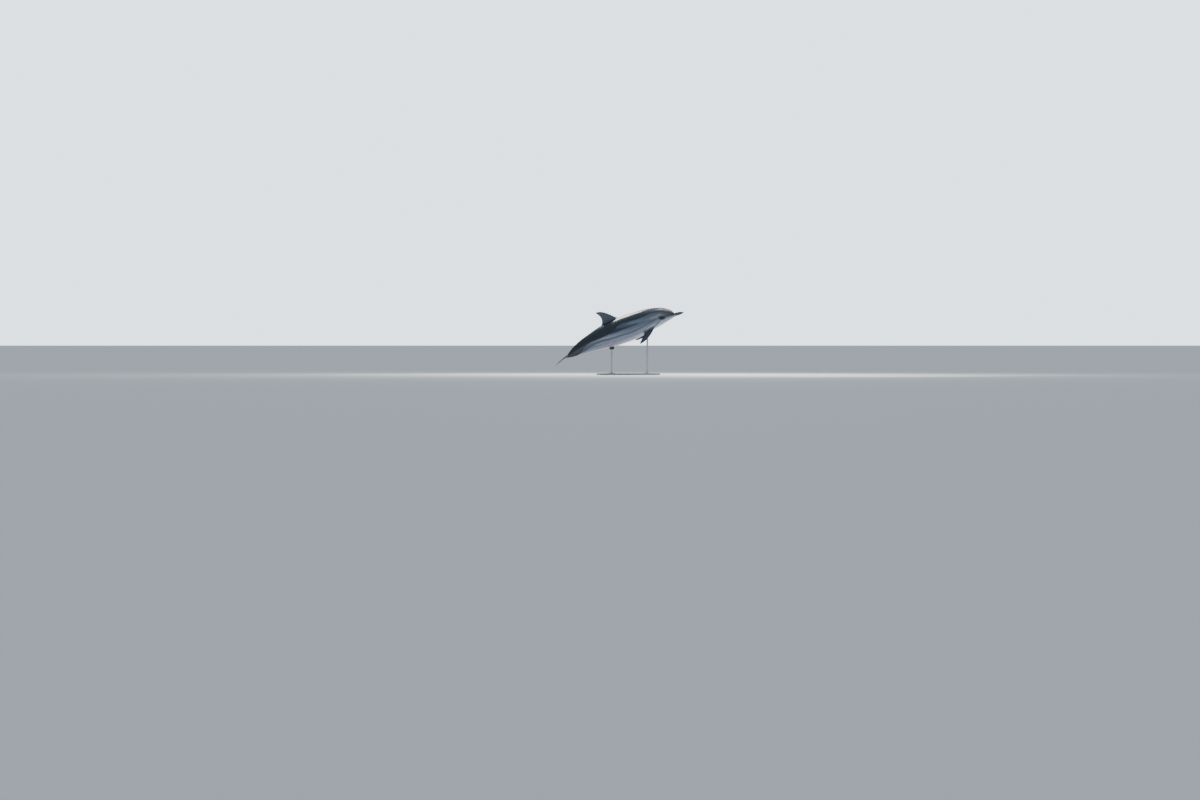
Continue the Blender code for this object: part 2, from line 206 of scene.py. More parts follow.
limit_shrink = (2 + math.cos(2 * math.pi / COLUMNS)) / 3     # a rounded ring ends this much smaller

rings = [SPANS[0][0]]
for start, end, steps in SPANS:
    rings += [start + (end - start) * k / steps for k in range(1, steps + 1)]
print(len(rings), "rings of", COLUMNS)


# %% Angles of the columns
def ring_index(along):
    return min(range(len(rings)), key=lambda i: abs(rings[i] - along))


def ease(x, start, end):
    """0 before start, 1 after end, smooth between."""
    t = min(max((x - start) / (end - start), 0.0), 1.0)
    return t * t * (3 - 2 * t)


def waist_angle(along):
    """The angle of the column that follows the mouth line and the eye."""
    height = waist_at(along)
    reach = back_at(along) if height > 0 else belly_at(along)
    return math.copysign(math.asin(min(abs(height) / reach, 1) ** (squareness_at(along) / 2)), height)


def column_angle(along, column):
    """The angle round the body of a column on the left half, counted from the waist up or down."""
    even = math.pi / 2 / QUARTER
    first = LIP_WIDTH / side_at(along)
    first += (even - first) * ease(along, GAPE, EYE_PATCH[0])
    first += (TAIL_COLUMN - even) * ease(along, *TAIL_WIDENS)
    middle = waist_angle(along)
    if column == 0:
        return middle
    sign = 1 if column > 0 else -1
    near = middle + sign * first
    rest = (abs(column) - 1) / (QUARTER - 1)
    return near + (sign * math.pi / 2 - near) * rest


print("at the eye the middle column stands at", round(math.degrees(column_angle(0.36, 0)), 1), "degrees")

# %% [markdown]
# ## Where the flippers grow
# A flipper's root doesn't lie along the body: on the left its leading edge sits well below its
# trailing edge, on the right a little above, as each flipper is turned. The columns are sheared
# there by a smooth bump, so that the patch the flipper grows from has the root's own slant.

# %% The body's surface as a function
FLIPPER_AT = 0.567
FLIPPER_ANGLE = math.radians(-52)
FLIPPER_COLUMN = -6
SHEAR = {"left": -2.07, "right": 0.44}     # radians for each metre along the body


def sheared(along, angle, hand):
    near = math.exp(-((angle - FLIPPER_ANGLE) / 0.42) ** 2)
    off = along - sum(FLIPPER_PATCH) / 2
    return angle - near * SHEAR[hand] * off * math.exp(-(off / 0.15) ** 2)


def on_body(along, angle):
    """Side and height over the spine of a point of the straight body."""
    power = 2.0 / squareness_at(along)
    across = math.cos(angle)
    up = math.sin(angle)
    reach = back_at(along) if up > 0 else belly_at(along)
    side = side_at(along) * math.copysign(abs(across) ** power, across)
    return side / limit_shrink, reach * math.copysign(abs(up) ** power, up) / limit_shrink


print("flippers grow", [round(size, 3) for size in on_body(FLIPPER_AT, FLIPPER_ANGLE)], "m off the spine")

# %% [markdown]
# ## Points with notes
# The skin's pattern has to know where on the animal it is. So every point of the cage is kept with
# four notes: its distance along the body, its lift from belly to back, how far it belongs to a fin,
# and how far to the lips. They become attributes of the mesh, and rounding spreads them smoothly.

# %% A cage that keeps notes


class Cage:
    """Points with what the skin's pattern needs to know, and the faces between them."""

    def __init__(self):
        self.points = []
        self.notes = []          # along, lift, limb, lip
        self.faces = []
        self.creases = {}

    def add(self, place, along, lift, limb=0.0, lip=0.0):
        self.points.append(tuple(place))
        self.notes.append((along, lift, limb, lip))
        return len(self.points) - 1

    def bridge(self, first, second):
        """Faces between two closed loops of equal counts."""
        for i in range(len(first)):
            j = (i + 1) % len(first)
            self.faces.append((first[i], first[j], second[j], second[i]))

    def zip_up(self, front, upper, rear, lower):
        """Closes a loop of front, upper side, rear and lower side, both sides from front to rear."""
        self.faces.append((front, upper[0], lower[0]))
        for a, b, c, d in zip(upper, upper[1:], lower[1:], lower):
            self.faces.append((a, b, c, d))
        self.faces.append((upper[-1], rear, lower[-1]))


# %% The rings of the body
LIP_DEPTH = 0.0034
cage = Cage()


def ring_point(along, column, hand="left"):
    angle = sheared(along, column_angle(along, column), hand)
    side, height = on_body(along, angle)
    lip = 0.0
    if column == 0 and along < GAPE + 0.02:
        lip = 1 - ease(along, GAPE - 0.01, GAPE + 0.02)
        side -= LIP_DEPTH * lip * ease(along, 0.0, 0.012)
    reach = back_at(along) if height > 0 else belly_at(along)
    lift = height * limit_shrink / reach
    return cage.add(bend(along, side if hand == "left" else -side, height), along, lift, 0.0, lip)


up_the_side = list(range(-QUARTER, QUARTER + 1))
grid = []
for along in rings:
    left = [ring_point(along, column) for column in up_the_side]
    right = [ring_point(along, column, "right") for column in up_the_side[-2:0:-1]]
    grid.append(left + right)      # from the belly up the left side, and down the right side
print(len(cage.points), "cage points on the body")

# %% [markdown]
# ## Patches
# A fin or an eye grows out of a hole in the rings: two columns wide and a few rings long. The hole's
# edge is a loop, and the fin is a stack of loops with the same count: one point for the leading
# edge, a row for the upper side, one for the trailing edge and a row for the lower side.

# %% Open a patch
open_faces = set()


def patch(bounds, column, hand="left"):
    """The loop round a hole between two rings: front, upper or outer side, rear, the other side."""
    first, last = (ring_index(along) for along in bounds)
    middle = (column + QUARTER) % COLUMNS
    if hand == "right":
        middle = -middle % COLUMNS
    sides = []
    for neighbour in ((middle + 1) % COLUMNS, (middle - 1) % COLUMNS):
        sides.append([grid[i][neighbour] for i in range(first, last + 1)])
    for i in range(first, last):
        open_faces.update({(i, (middle - 1) % COLUMNS), (i, middle)})
    after, before = sides if hand == "left" else sides[::-1]
    return grid[first][middle], after, grid[last][middle], before


def as_loop(front, upper, rear, lower):
    return [front] + upper + [rear] + lower[::-1]


print("the eye's patch lies between rings", [ring_index(along) for along in EYE_PATCH])

# %% [markdown]
# ## Fins
# Each fin is given by two edges, both Bezier curves from the root to the tip, and by a foil's
# thickness between them: round in front, thin behind, as on the real fins, which are stiff blades
# of gristle. The same function makes the dorsal fin, the flippers and the flukes.

# %% Edges and thickness
def bezier(a, b, c, d, t):
    weights = ((1 - t) ** 3, 3 * t * (1 - t) ** 2, 3 * t * t * (1 - t), t ** 3)
    return np.array(weights) @ np.array((a, b, c, d), float)


def foil(u, thick):
    """Half of a foil's thickness at a share u of its chord."""
    return 1.3 * math.sqrt(max(u, 0)) * (1 - u) ** 1.15 * thick + 0.0007


print("a foil of thickness 1 is", round(foil(0.30, 1.0), 2), "to each side at a third of its chord")

# %% Grow a fin
LEAST_THICKNESS = 0.0016
TRAILING_CREASE = 0.55       # keeps the trailing edge thin when the cage is rounded
NEAR_TIP = 0.98              # the last full row, as a share of the edges
TIP_NARROW = 0.5             # the row that closes the tip
ROUNDING_LOSS = 1.05         # the other rows are drawn this much too wide, as rounding narrows them


def grow_fin(hole, leading, trailing, thickness, place, note, rows, first_row, flare=0.6):
    """Loops from a hole in the cage to the fin's tip. place(back, out, lift) gives the point."""
    count = len(hole[1])
    shares = [0.5 - 0.5 * math.cos(math.pi * (0.10 + 0.84 * k / (count - 1))) for k in range(count)]
    last = hole
    for row in range(rows):
        closing = row == rows - 1
        share = row / (rows - 2)
        step = 1 - (1 - min(share, 1.0)) ** 1.25
        head_at, tail_at = (1.0 if closing else first + (NEAR_TIP - first) * step for first in first_row)
        head = bezier(*leading, head_at)
        tail = bezier(*trailing, tail_at)
        middle_at = (head_at + tail_at) / 2
        chord = float(np.hypot(*(bezier(*trailing, middle_at) - bezier(*leading, middle_at))))
        thick = max(thickness * chord, LEAST_THICKNESS) * (1 + flare * math.exp(-share * 9))
        limb = ease(share, -0.30, 0.10)
        middle = (head + tail) / 2
        narrow = TIP_NARROW if closing else ROUNDING_LOSS

        def add(u, sign):
            spot = middle + (head + (tail - head) * u - middle) * narrow
            return cage.add(place(spot[0], spot[1], sign * foil(u, thick) * narrow), *note, limb)

        nose = add(0.0, 0)
        upper = [add(u, 1) for u in shares]
        end = add(1.0, 0)
        lower = [add(u, -1) for u in shares]
        row_points = (nose, upper, end, lower)
        cage.bridge(as_loop(*last), as_loop(*row_points))
        if 0 < row < rows - 2:
            cage.creases[(last[2], end)] = TRAILING_CREASE
        last = row_points
    cage.zip_up(*last)


# %% The dorsal fin
DORSAL_START = 0.975
DORSAL_END = 1.235
DORSAL_LEADING = ((-0.030, -0.035), (0.075, 0.075), (0.165, 0.222), (0.275, 0.209))
DORSAL_TRAILING = ((0.290, -0.025), (0.205, 0.050), (0.212, 0.125), (0.274, 0.198))
DORSAL_THICKNESS = 0.115     # of the chord

fin_start = bend(DORSAL_START, 0.0, back_at(DORSAL_START))
fin_end = bend(DORSAL_END, 0.0, back_at(DORSAL_END))
fin_way = (fin_end - fin_start) / np.linalg.norm(fin_end - fin_start)
fin_up = np.array((fin_way[2], 0.0, -fin_way[0]))


def on_dorsal(back, out, lift):
    spot = fin_start + fin_way * back + fin_up * out
    return np.array((spot[0], lift, spot[2]))


on_the_back = patch(DORSAL_PATCH, QUARTER, "right")      # at the top, where both hands meet
grow_fin(on_the_back, DORSAL_LEADING, DORSAL_TRAILING, DORSAL_THICKNESS, on_dorsal,
         note=(1.10, 1.0), rows=9, first_row=(0.17, 0.17))
print("dorsal fin", round(float(np.linalg.norm(fin_end - fin_start)), 3), "m long at its base")

# %% [markdown]
# ## Flippers
# A flipper is the fin of an arm: thick at the shoulder, swept back, and set at its own angle. In
# this leap the left one is held further out than the right. Its own frame of three directions
# turns the same flat outline into place on either side. The ends of its hole are narrowed first,
# because a root is round and a hole between rings is square.

# %% The flippers' outline and directions
FLIPPER_LEADING = ((-0.036, -0.045), (-0.064, 0.087), (-0.048, 0.210), (0.012, 0.293))
FLIPPER_TRAILING = ((0.050, -0.045), (0.052, 0.058), (0.036, 0.168), (0.024, 0.288))
FLIPPER_THICKNESS = 0.17
FLIPPER_ROOT = (FLIPPER_AT, 0.098, -0.125)
FLIPPER_OUT = {"right": 18.0, "left": 36.0}      # degrees, splay away from the body
FLIPPER_BACK = {"right": 35.6, "left": 42.5}     # sweep from straight down to the tail
FLIPPER_TURN = {"right": 18.0, "left": -10.0}    # leading edge turned outward


def flipper_place(hand):
    sign = 1 if hand == "left" else -1
    sweep = math.radians(FLIPPER_BACK[hand])
    splay = math.radians(FLIPPER_OUT[hand])
    along, side, height = FLIPPER_ROOT
    root = bend(along, sign * side, height)
    out_way = np.array((-math.sin(sweep) * math.cos(splay), sign * math.sin(splay),
                        -math.cos(sweep) * math.cos(splay)))
    turn = math.radians(FLIPPER_TURN[hand])
    forward = np.array((math.cos(turn), sign * math.sin(turn), 0.0))
    forward = forward - out_way * float(forward @ out_way)
    forward = forward / np.linalg.norm(forward)
    through = np.cross(out_way, forward) * sign      # towards the outer, upper face
    return lambda back, out, lift: root - forward * back + out_way * out + through * lift


print("left flipper's tip", flipper_place("left")(*FLIPPER_LEADING[-1], 0.0).round(3))

# %% Grow the flippers
FLIPPER_FIRST = (0.03, 0.45)     # the leading edge leaves the body sooner than the trailing edge
SHOULDER_LIMB = 0.55             # how far the edge of the hole counts as fin
NARROWED = ((0, 0.55), (1, 0.2), (-2, 0.2), (-1, 0.55))      # place in the hole, share


def narrow_ends(hole, start, hand):
    """Draws the corners of a hole towards the column in its middle."""
    middle = (FLIPPER_COLUMN + QUARTER) * (1 if hand == "left" else -1)
    _, upper, _, lower = hole
    for place, pull in NARROWED:
        centre = np.array(cage.points[grid[ring_index(start) + place % len(upper)][middle]])
        for i in (upper[place], lower[place]):
            cage.points[i] = tuple(np.array(cage.points[i]) * (1 - pull) + centre * pull)


flipper_roots = []
for hand in ("left", "right"):
    hole = patch(FLIPPER_PATCH, FLIPPER_COLUMN, hand)
    for i in as_loop(*hole):
        along, lift, _, lip = cage.notes[i]
        cage.notes[i] = (along, lift, SHOULDER_LIMB, lip)
    flipper_roots.append((cage.points[hole[0]], cage.points[hole[2]]))
    narrow_ends(hole, FLIPPER_PATCH[0], hand)
    grow_fin(hole, FLIPPER_LEADING, FLIPPER_TRAILING, FLIPPER_THICKNESS, flipper_place(hand),
             note=(FLIPPER_AT, -0.8), rows=10, first_row=FLIPPER_FIRST)
print("flipper roots", [round(math.dist(*root), 3) for root in flipper_roots], "m long")

# %% [markdown]
# ## Flukes
# The flukes are two more fins, which grow sideways out of the end of the tail and meet in a notch.
# They lie in the plane of the spine's own bend, so the function that bends the body also places
# every point of theirs, and they roll with the tail.

# %% The flukes
FLUKE_LEADING = ((1.862, 0.00015), (1.915, 0.078), (2.030, 0.185), (2.118, 0.255))
FLUKE_TRAILING = ((LENGTH, 0.00015), (2.105, 0.060), (2.048, 0.160), (2.115, 0.253))
FLUKE_THICKNESS = 0.105


def fluke_place(hand):
    sign = 1 if hand == "left" else -1
    return lambda back, out, lift: bend(back, sign * out, lift)


for hand in ("left", "right"):
    grow_fin(patch(FLUKE_PATCH, 0, hand), FLUKE_LEADING, FLUKE_TRAILING, FLUKE_THICKNESS,
             fluke_place(hand), note=(1.95, 0.3), rows=11, first_row=(0.13, 0.13), flare=0.1)
print(len(cage.points), "cage points with the fins")

# %% [markdown]
# ## Eyes sit in lids
# A dolphin's eye is a ball of about 29 mm, of which a slit of 25 by 13 mm shows between smooth,
# slightly swollen lids. The skin runs over the ball as loops: the outer fold, the crest of the lid,
# its margin just off the ball, and an inner wall that closes the socket behind it.

# %% Sizes of the lids
EYE_ALONG = 0.360
LID_LOOPS = (
    # half length, half height, height over the skin, distance off the ball or None
    (0.0205, 0.0150, 0.0010, None),
    (0.0170, 0.0112, 0.0024, None),
    (0.0142, 0.0082, None, 0.0014),
    (0.0127, 0.0066, None, 0.0004),
    (0.0118, 0.0058, None, -0.0016),
    (0.0060, 0.0032, None, -0.0050),
)
CORNER_DIP = 0.0008          # the front corner of the slit dips
BROW_SWELL = 1.35            # the upper lid is fuller


def eye_ball(hand):
    low, high = (np.array(corner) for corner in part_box(f"eye_{hand}"))
    return (low + high) / 2, float(high[0] - low[0]) / 2


print("eyeballs of radius", round(eye_ball("left")[1], 4), "m, each behind", len(LID_LOOPS), "loops")


# %% Grow the lids
def grow_lids(hand):
    front, upper, rear, lower = patch(EYE_PATCH, 0, hand)
    centre, radius = eye_ball(hand)
    edge = as_loop(front, upper, rear, lower)
    corners = np.array([cage.points[i] for i in edge])
    middle = corners.mean(0)
    forward = corners[0] - corners[1 + len(upper)]
    forward /= np.linalg.norm(forward)
    span = corners[2 + len(upper):].mean(0) - corners[1:1 + len(upper)].mean(0)
    out = np.cross(forward, span)
    out *= math.copysign(1, out[1] * centre[1]) / np.linalg.norm(out)
    up = np.cross(out, forward)
    up *= math.copysign(1, up[2])
    aim = centre + out * float((middle - centre) @ out)
    places = corners - middle
    angles = np.arctan2(places @ up, places @ forward)
    previous = edge
    for half_length, half_height, rise, off in LID_LOOPS:
        loop = []
        for angle in angles:
            across = half_length * math.cos(angle)
            above = half_height * math.sin(angle)
            above += CORNER_DIP * math.cos(angle)
            spot = aim + forward * across + up * above
            if rise is None:
                flat = math.hypot(across, above)
                ball = math.sqrt(max((radius + off) ** 2 - flat ** 2, 0.0))
                spot = centre + forward * across + up * above + out * ball
            else:
                spot = spot + out * rise * (BROW_SWELL if math.sin(angle) > 0 else 1.0)
            loop.append(cage.add(spot, EYE_ALONG, waist_at(EYE_ALONG) / belly_at(EYE_ALONG)))
        cage.bridge(previous, loop)
        previous = loop
    n = len(upper)
    cage.zip_up(previous[0], previous[1:1 + n], previous[1 + n], previous[2 + n:][::-1])
    return centre, radius, forward, up, out


eye_frames = {hand: grow_lids(hand) for hand in ("left", "right")}
print(len(cage.points), "cage points with the lids")

# %% [markdown]
# ## From cage to skin
# The rings are joined by faces, except where a patch was left open, and both ends are closed. Two
# levels of subdivision round the cage. They are applied at once, because the next steps sculpt the
# rounded mesh itself.

# %% Close the body
for i in range(len(grid) - 1):
    for j in range(COLUMNS):
        if (i, j) not in open_faces:
            k = (j + 1) % COLUMNS
            cage.faces.append((grid[i][j], grid[i][k], grid[i + 1][k], grid[i + 1][j]))
half = COLUMNS // 2
for ring in (grid[0], grid[-1]):
    belly_to_back = [ring[j] for j in range(1, half)]
    other_side = [ring[COLUMNS - j] for j in range(1, half)]
    cage.zip_up(ring[0], belly_to_back, ring[half], other_side)
print(len(cage.faces), "faces in the cage")


# %% Make the mesh and round it
ROUNDING = 2


def make_skin(cage):
    """The cage as a mesh whose faces all point out, with its notes as attributes."""
    used = sorted({i for face in cage.faces for i in face})
    renumber = {old: new for new, old in enumerate(used)}
    mesh = bpy.data.meshes.new("skin")
    mesh.from_pydata([cage.points[i] for i in used], [],
                     [tuple(renumber[i] for i in face) for face in cage.faces])
    for k, name in enumerate(("along", "lift", "limb", "lip")):
        values = np.array([cage.notes[i][k] for i in used], np.float32)
        mesh.attributes.new(name, "FLOAT", "POINT").data.foreach_set("value", values)
    bm = bmesh.new()
    bm.from_mesh(mesh)
    bmesh.ops.recalc_face_normals(bm, faces=bm.faces)
    open_edges = [edge for edge in bm.edges if not edge.is_manifold]
    print("open edges in the cage:", len(open_edges))
    crease = bm.edges.layers.float.new("crease_edge")
    bm.verts.ensure_lookup_table()
    for ends, value in cage.creases.items():
        edge = bm.edges.get([bm.verts[renumber[i]] for i in ends])
        if edge:
            edge[crease] = value
    bm.to_mesh(mesh)
    bm.free()
    mesh.shade_smooth()
    return mesh


skin = bpy.data.objects.new("skin", make_skin(cage))
bpy.context.scene.collection.objects.link(skin)
rounding = skin.modifiers.new("rounding", "SUBSURF")
rounding.levels = ROUNDING
rounding.render_levels = ROUNDING
applied = bpy.data.meshes.new_from_object(skin.evaluated_get(bpy.context.evaluated_depsgraph_get()))
skin.modifiers.clear()
skin.data = applied
skin.data.name = "skin"
print("skin has", len(skin.data.polygons), "faces")

# %% [markdown]
# ## Sculpted marks
# Some forms are too small for the cage. The webs where the flippers leave the body are eased by
# moving each point towards its neighbours. Then the mesh is made finer round the blowhole and along
# the belly's middle line, and three grooves are pressed in along its normals: the crescent of the
# blowhole with its horns forward, the long slit of the vent, and the dimple of the navel.

# %% Places of the marks
BLOWHOLE_AT = 0.392
HOLE_MIDDLE = bend(BLOWHOLE_AT - 0.010, 0.0, back_at(BLOWHOLE_AT))
HOLE_STRETCH = (1.0, 0.72, 0.35)
HOLE_RADIUS = 0.0125
MIDDLE_GROOVES = (
    # start and end along the body, half width
    (0.940, 0.957, 0.0045),      # navel
    (1.255, 1.365, 0.0028),      # genital slit
    (1.392, 1.410, 0.0032),      # anus
)
print("blowhole at", HOLE_MIDDLE.round(3))


# %% Ease the flippers' webs, and refine where the grooves go
WEB_REACHES = (0.040, 0.032, 0.024)      # the smoothing closes in on the root
WEB_ROUNDS = 7
REFINED_ROUND_HOLE = 0.034
REFINED_ASIDE = 0.012
REFINED_PAST = 0.010


def ease_along(bm, start, end):
    """Smooths the surface round a line, most on the line itself."""
    start = Vector(start)
    way = Vector(end) - start

    def away(vertex):
        share = max(-0.04, min(1.04, (vertex.co - start).dot(way) / way.length_squared))
        return (vertex.co - start - way * share).length

    for reach in WEB_REACHES:
        near = [vertex for vertex in bm.verts if away(vertex) < reach]
        for _ in range(WEB_ROUNDS):
            bmesh.ops.smooth_vert(bm, verts=near, factor=0.5,
                                  use_axis_x=True, use_axis_y=True, use_axis_z=True)


def refine(bm, wanted, cuts=3):
    """Divides the faces whose middle passes a test."""
    edges = {edge for face in bm.faces if wanted(face) for edge in face.edges}
    bmesh.ops.subdivide_edges(bm, edges=list(edges), cuts=cuts, use_grid_fill=True)
    return len(edges)


def by_blowhole(face):
    return (face.calc_center_median() - Vector(HOLE_MIDDLE)).length < REFINED_ROUND_HOLE


def by_middle_line(face):
    vertex = face.verts[0]
    if abs(vertex.co.y) > REFINED_ASIDE or vertex[note["lift"]] > -0.8:
        return False
    place = vertex[note["along"]]
    return any(start - REFINED_PAST < place < end + REFINED_PAST for start, end, _ in MIDDLE_GROOVES)


mesh = skin.data
bm = bmesh.new()
bm.from_mesh(mesh)
for start, end in flipper_roots:
    ease_along(bm, start, end)
note = {name: bm.verts.layers.float[name] for name in ("along", "lift")}
print("edges divided:", refine(bm, by_blowhole) + refine(bm, by_middle_line))
bm.to_mesh(mesh)
bm.free()
mesh.shade_smooth()


# %% Press the grooves
HOLLOW_DEPTH = 0.0014        # the shallow dish round the blowhole
CRESCENT_DEPTH = 0.0026
GROOVE_DEPTH = 0.0020


def read(values, name, width=1):
    found = np.empty(len(values) * width, np.float32)
    values.foreach_get(name, found)
    return found.reshape(-1, width) if width > 1 else found


def gap(values, start, end, soft):
    """1 between start and end, falling softly to 0 outside."""
    rise, fall = (values - start) / soft, (end - values) / soft
    return (1 + np.tanh(rise / 2)) * (1 + np.tanh(fall / 2)) / 4


places = read(mesh.vertices, "co", 3)
normals = read(mesh.vertices, "normal", 3)
along, lift = (read(mesh.attributes[name].data, "value") for name in ("along", "lift"))
from_hole = np.linalg.norm((places - HOLE_MIDDLE) * HOLE_STRETCH, axis=1)
on_top = lift > 0.5
press = HOLLOW_DEPTH * np.exp(-(from_hole / 0.020) ** 2) * on_top
crescent = np.exp(-((from_hole - HOLE_RADIUS) / 0.0013) ** 2)
press += CRESCENT_DEPTH * crescent * gap(along, BLOWHOLE_AT - 0.004, 9.0, 0.0012) * on_top
for start, end, width in MIDDLE_GROOVES:
    groove = np.exp(-(places[:, 1] / width) ** 2 * 1.6) * gap(along, start, end, 0.0025)
    press += GROOVE_DEPTH * groove * (lift < -0.8)
places -= normals * press[:, None]
mesh.vertices.foreach_set("co", places.ravel())
mesh.update()
print("pressed", int((press > 0.0003).sum()), "points")

# %% [markdown]
# ## Shader maths as Python
# A material is a network of nodes, but most of it is arithmetic. One small class wraps a socket, so
# that `mask * 0.5 + 1` adds the Math nodes, and one method adds any other node.

# %% A socket that can be reckoned with
class Socket:
    """An output socket with the arithmetic that the materials use."""

    def __init__(self, shop, socket):
        self.shop = shop
        self.socket = socket

    def math(self, operation, *others):
        values = {i: value for i, value in enumerate((self, *others))}
        return self.shop.node("ShaderNodeMath", {"operation": operation}, values)

    def __add__(self, other):
        return self.math("ADD", other)

    def __sub__(self, other):
        return self.math("SUBTRACT", other)

    def __rsub__(self, other):
        return (self * -1.0) + other

    def __mul__(self, other):
        return self.math("MULTIPLY", other)

    def __truediv__(self, other):
        return self.math("DIVIDE", other)

    __radd__ = __add__
    __rmul__ = __mul__

    def size(self):
        return self.math("ABSOLUTE")

    def most(self, other):
        return self.math("MAXIMUM", other)

    def between(self, start, end, low=0.0, high=1.0):
        """Smoothly from low to high as the value goes from start to end."""
        settings = {"interpolation_type": "SMOOTHSTEP"}
        values = {0: self, 1: start, 2: end, 3: low, 4: high}
        return self.shop.node("ShaderNodeMapRange", settings, values)


# %% A shop that makes one material's nodes
class Shop:
    """One material, and short names for the nodes that it is made of."""

    def __init__(self, name):
        self.material = bpy.data.materials.new(name)
        self.material.use_nodes = True
        self.tree = self.material.node_tree
        self.shader = self.tree.nodes["Principled BSDF"]

    def node(self, kind, settings=None, values=None, output=0):
        made = self.tree.nodes.new(kind)
        for name, value in (settings or {}).items():
            setattr(made, name, value)
        for name, value in (values or {}).items():
            self.put(made.inputs[name], value)
        return Socket(self, made.outputs[output])

    def put(self, place, value):
        if isinstance(value, Socket):
            self.tree.links.new(value.socket, place)
        elif place.type == "RGBA" and len(value) == 3:
            place.default_value = (*value, 1.0)
        else:
            place.default_value = value

    def note(self, name):
        return self.node("ShaderNodeAttribute", {"attribute_name": name}, output="Fac")

    def spot(self):
        return self.node("ShaderNodeTexCoord", output="Object")

    def noise(self, where, scale, detail=3.0):
        values = {"Vector": where, "Scale": scale, "Detail": detail}
        return self.node("ShaderNodeTexNoise", None, values, output="Fac")

    def curve(self, value, points):
        """A float curve through points whose ends are 0 and 1."""
        made = self.tree.nodes.new("ShaderNodeFloatCurve")
        line = made.mapping.curves[0]
        for point, (x, y) in zip(line.points, (points[0], points[-1])):
            point.location = (x, y)
        for x, y in points[1:-1]:
            line.points.new(x, y)
        made.mapping.update()
        self.put(made.inputs["Value"], value)
        return Socket(self, made.outputs[0])

    def mix(self, share, first, second):
        values = {0: share, 6: first, 7: second}
        return self.node("ShaderNodeMix", {"data_type": "RGBA"}, values, output=2)

    def bump(self, height, strength, distance, below=None):
        values = {"Height": height, "Strength": strength, "Distance": distance}
        if below is not None:
            values["Normal"] = below
        return self.node("ShaderNodeBump", None, values, output="Normal")

    def finish(self, **values):
        for name, value in values.items():
            self.put(self.shader.inputs[name.replace("_", " ")], value)
        return self.material


# %% [markdown]
# ## The skin's pattern
# The species is named for its stripes. From the top down: a dark cape, which widens to the whole
# flank behind the dorsal fin; a pale blaze that sweeps up into the cape from behind the eye, with a
# dark spur under it; a grey flank; a dark line from the eye to the vent, with a short second one
# beneath; a line from the eye to the flipper; and a pale, slightly pink belly. Beak, fins and tail
# are dark. Each mark is a curve of height against distance from the tip of the beak, read from the
# attributes that the cage carries, so it follows the body and is the same on both sides. Two noises
# shift the height a little, so that no edge is ruled. Below, `metres` is the distance from the tip,
# and `level` goes from 0 at the belly, past 0.5 at the waist, to 1 at the back.

# %% What the pattern reads
paint = Shop("dolphin_skin")
spot = paint.spot()
along = paint.note("along") / LENGTH
wander = paint.noise(spot, 9.0, 2.0) - 0.5
ripple = paint.noise(spot, 60.0, 2.0) - 0.5
lift = paint.note("lift") + wander * 0.10 + ripple * 0.018
limb = paint.note("limb")
level = lift * 0.5 + 0.5
metres = along * LENGTH


def whole_length(points):
    """The points with their first and last values carried on to both ends of the body."""
    return [(0.0, points[0][1]), *points, (LENGTH, points[-1][1])]


def height_curve(points):
    """A curve of lift, from -1 at the belly to 1 at the back, against metres from the tip."""
    return paint.curve(along, [(x / LENGTH, y * 0.5 + 0.5) for x, y in whole_length(points)])


def width_curve(points):
    """A curve of half-width, as a share of half of the body, against metres from the tip."""
    return paint.curve(along, [(x / LENGTH, y * 0.5) for x, y in whole_length(points)])


def stripe(heights, widths, core=0.5, edge=1.3):
    away = (level - height_curve(heights)).size()
    width = width_curve(widths)
    return (away / width.most(0.0004)).between(core, edge, 1.0, 0.0) * width.between(0.0006, 0.006)


print("the pattern reads along, lift and limb, over", LENGTH, "m")

# %% [markdown]
# ## Dark marks
# The cape's edge dips in a wave: high over the eye and the shoulder, and down to the belly at the
# tail, where it also grows soft. The spur is a tongue of the cape, the bridle runs from the eye to
# the beak, and the lines run back from the eye. A stripe is a middle line with a width of its own,
# so one function draws them all.

# %% Cape, spur and lines
cape_edge = height_curve((
    (0.10, -0.10), (0.16, 0.10), (0.24, 0.34), (0.32, 0.50), (0.44, 0.56), (0.52, 0.56),
    (0.62, 0.46), (0.76, 0.45), (0.88, 0.47), (0.97, 0.52), (1.03, 0.46), (1.09, 0.29),
    (1.18, 0.10), (1.35, 0.0), (1.50, -0.06), (1.58, -0.22), (1.65, -0.50), (1.72, -0.80),
    (1.78, -0.99)))
softness = metres.between(1.3, 1.6, 0.020, 0.09)
cape = (level - cape_edge).between(softness * -1.0, softness)
spur = stripe(((0.70, 0.10), (0.80, 0.12), (0.98, 0.13), (1.10, 0.17)),
              ((0.70, 0.0), (0.78, 0.04), (0.98, 0.085), (1.10, 0.15), (1.18, 0.14), (1.24, 0.0)),
              core=0.3, edge=1.6)
eye_line = stripe(
    ((0.36, 0.00), (0.42, 0.08), (0.45, 0.08), (0.48, 0.03), (0.55, -0.11), (0.635, -0.24),
     (0.74, -0.31), (0.89, -0.345), (1.03, -0.32), (1.135, -0.33), (1.345, -0.27),
     (1.50, -0.32), (1.64, -0.50)),
    ((0.37, 0.0), (0.40, 0.06), (0.46, 0.07), (0.55, 0.055), (0.70, 0.07), (0.95, 0.075),
     (1.20, 0.10), (1.40, 0.14), (1.55, 0.22), (1.66, 0.30)))
second_line = stripe(((0.46, -0.08), (0.50, -0.15), (0.55, -0.28), (0.63, -0.47), (0.70, -0.60)),
                     ((0.44, 0.0), (0.50, 0.035), (0.60, 0.045), (0.72, 0.0)))
flipper_line = stripe(
    ((0.36, -0.12), (0.40, -0.37), (0.44, -0.52), (0.49, -0.67), (0.54, -0.76)),
    ((0.355, 0.0), (0.375, 0.08), (0.42, 0.10), (0.50, 0.13), (0.58, 0.18), (0.62, 0.0)))
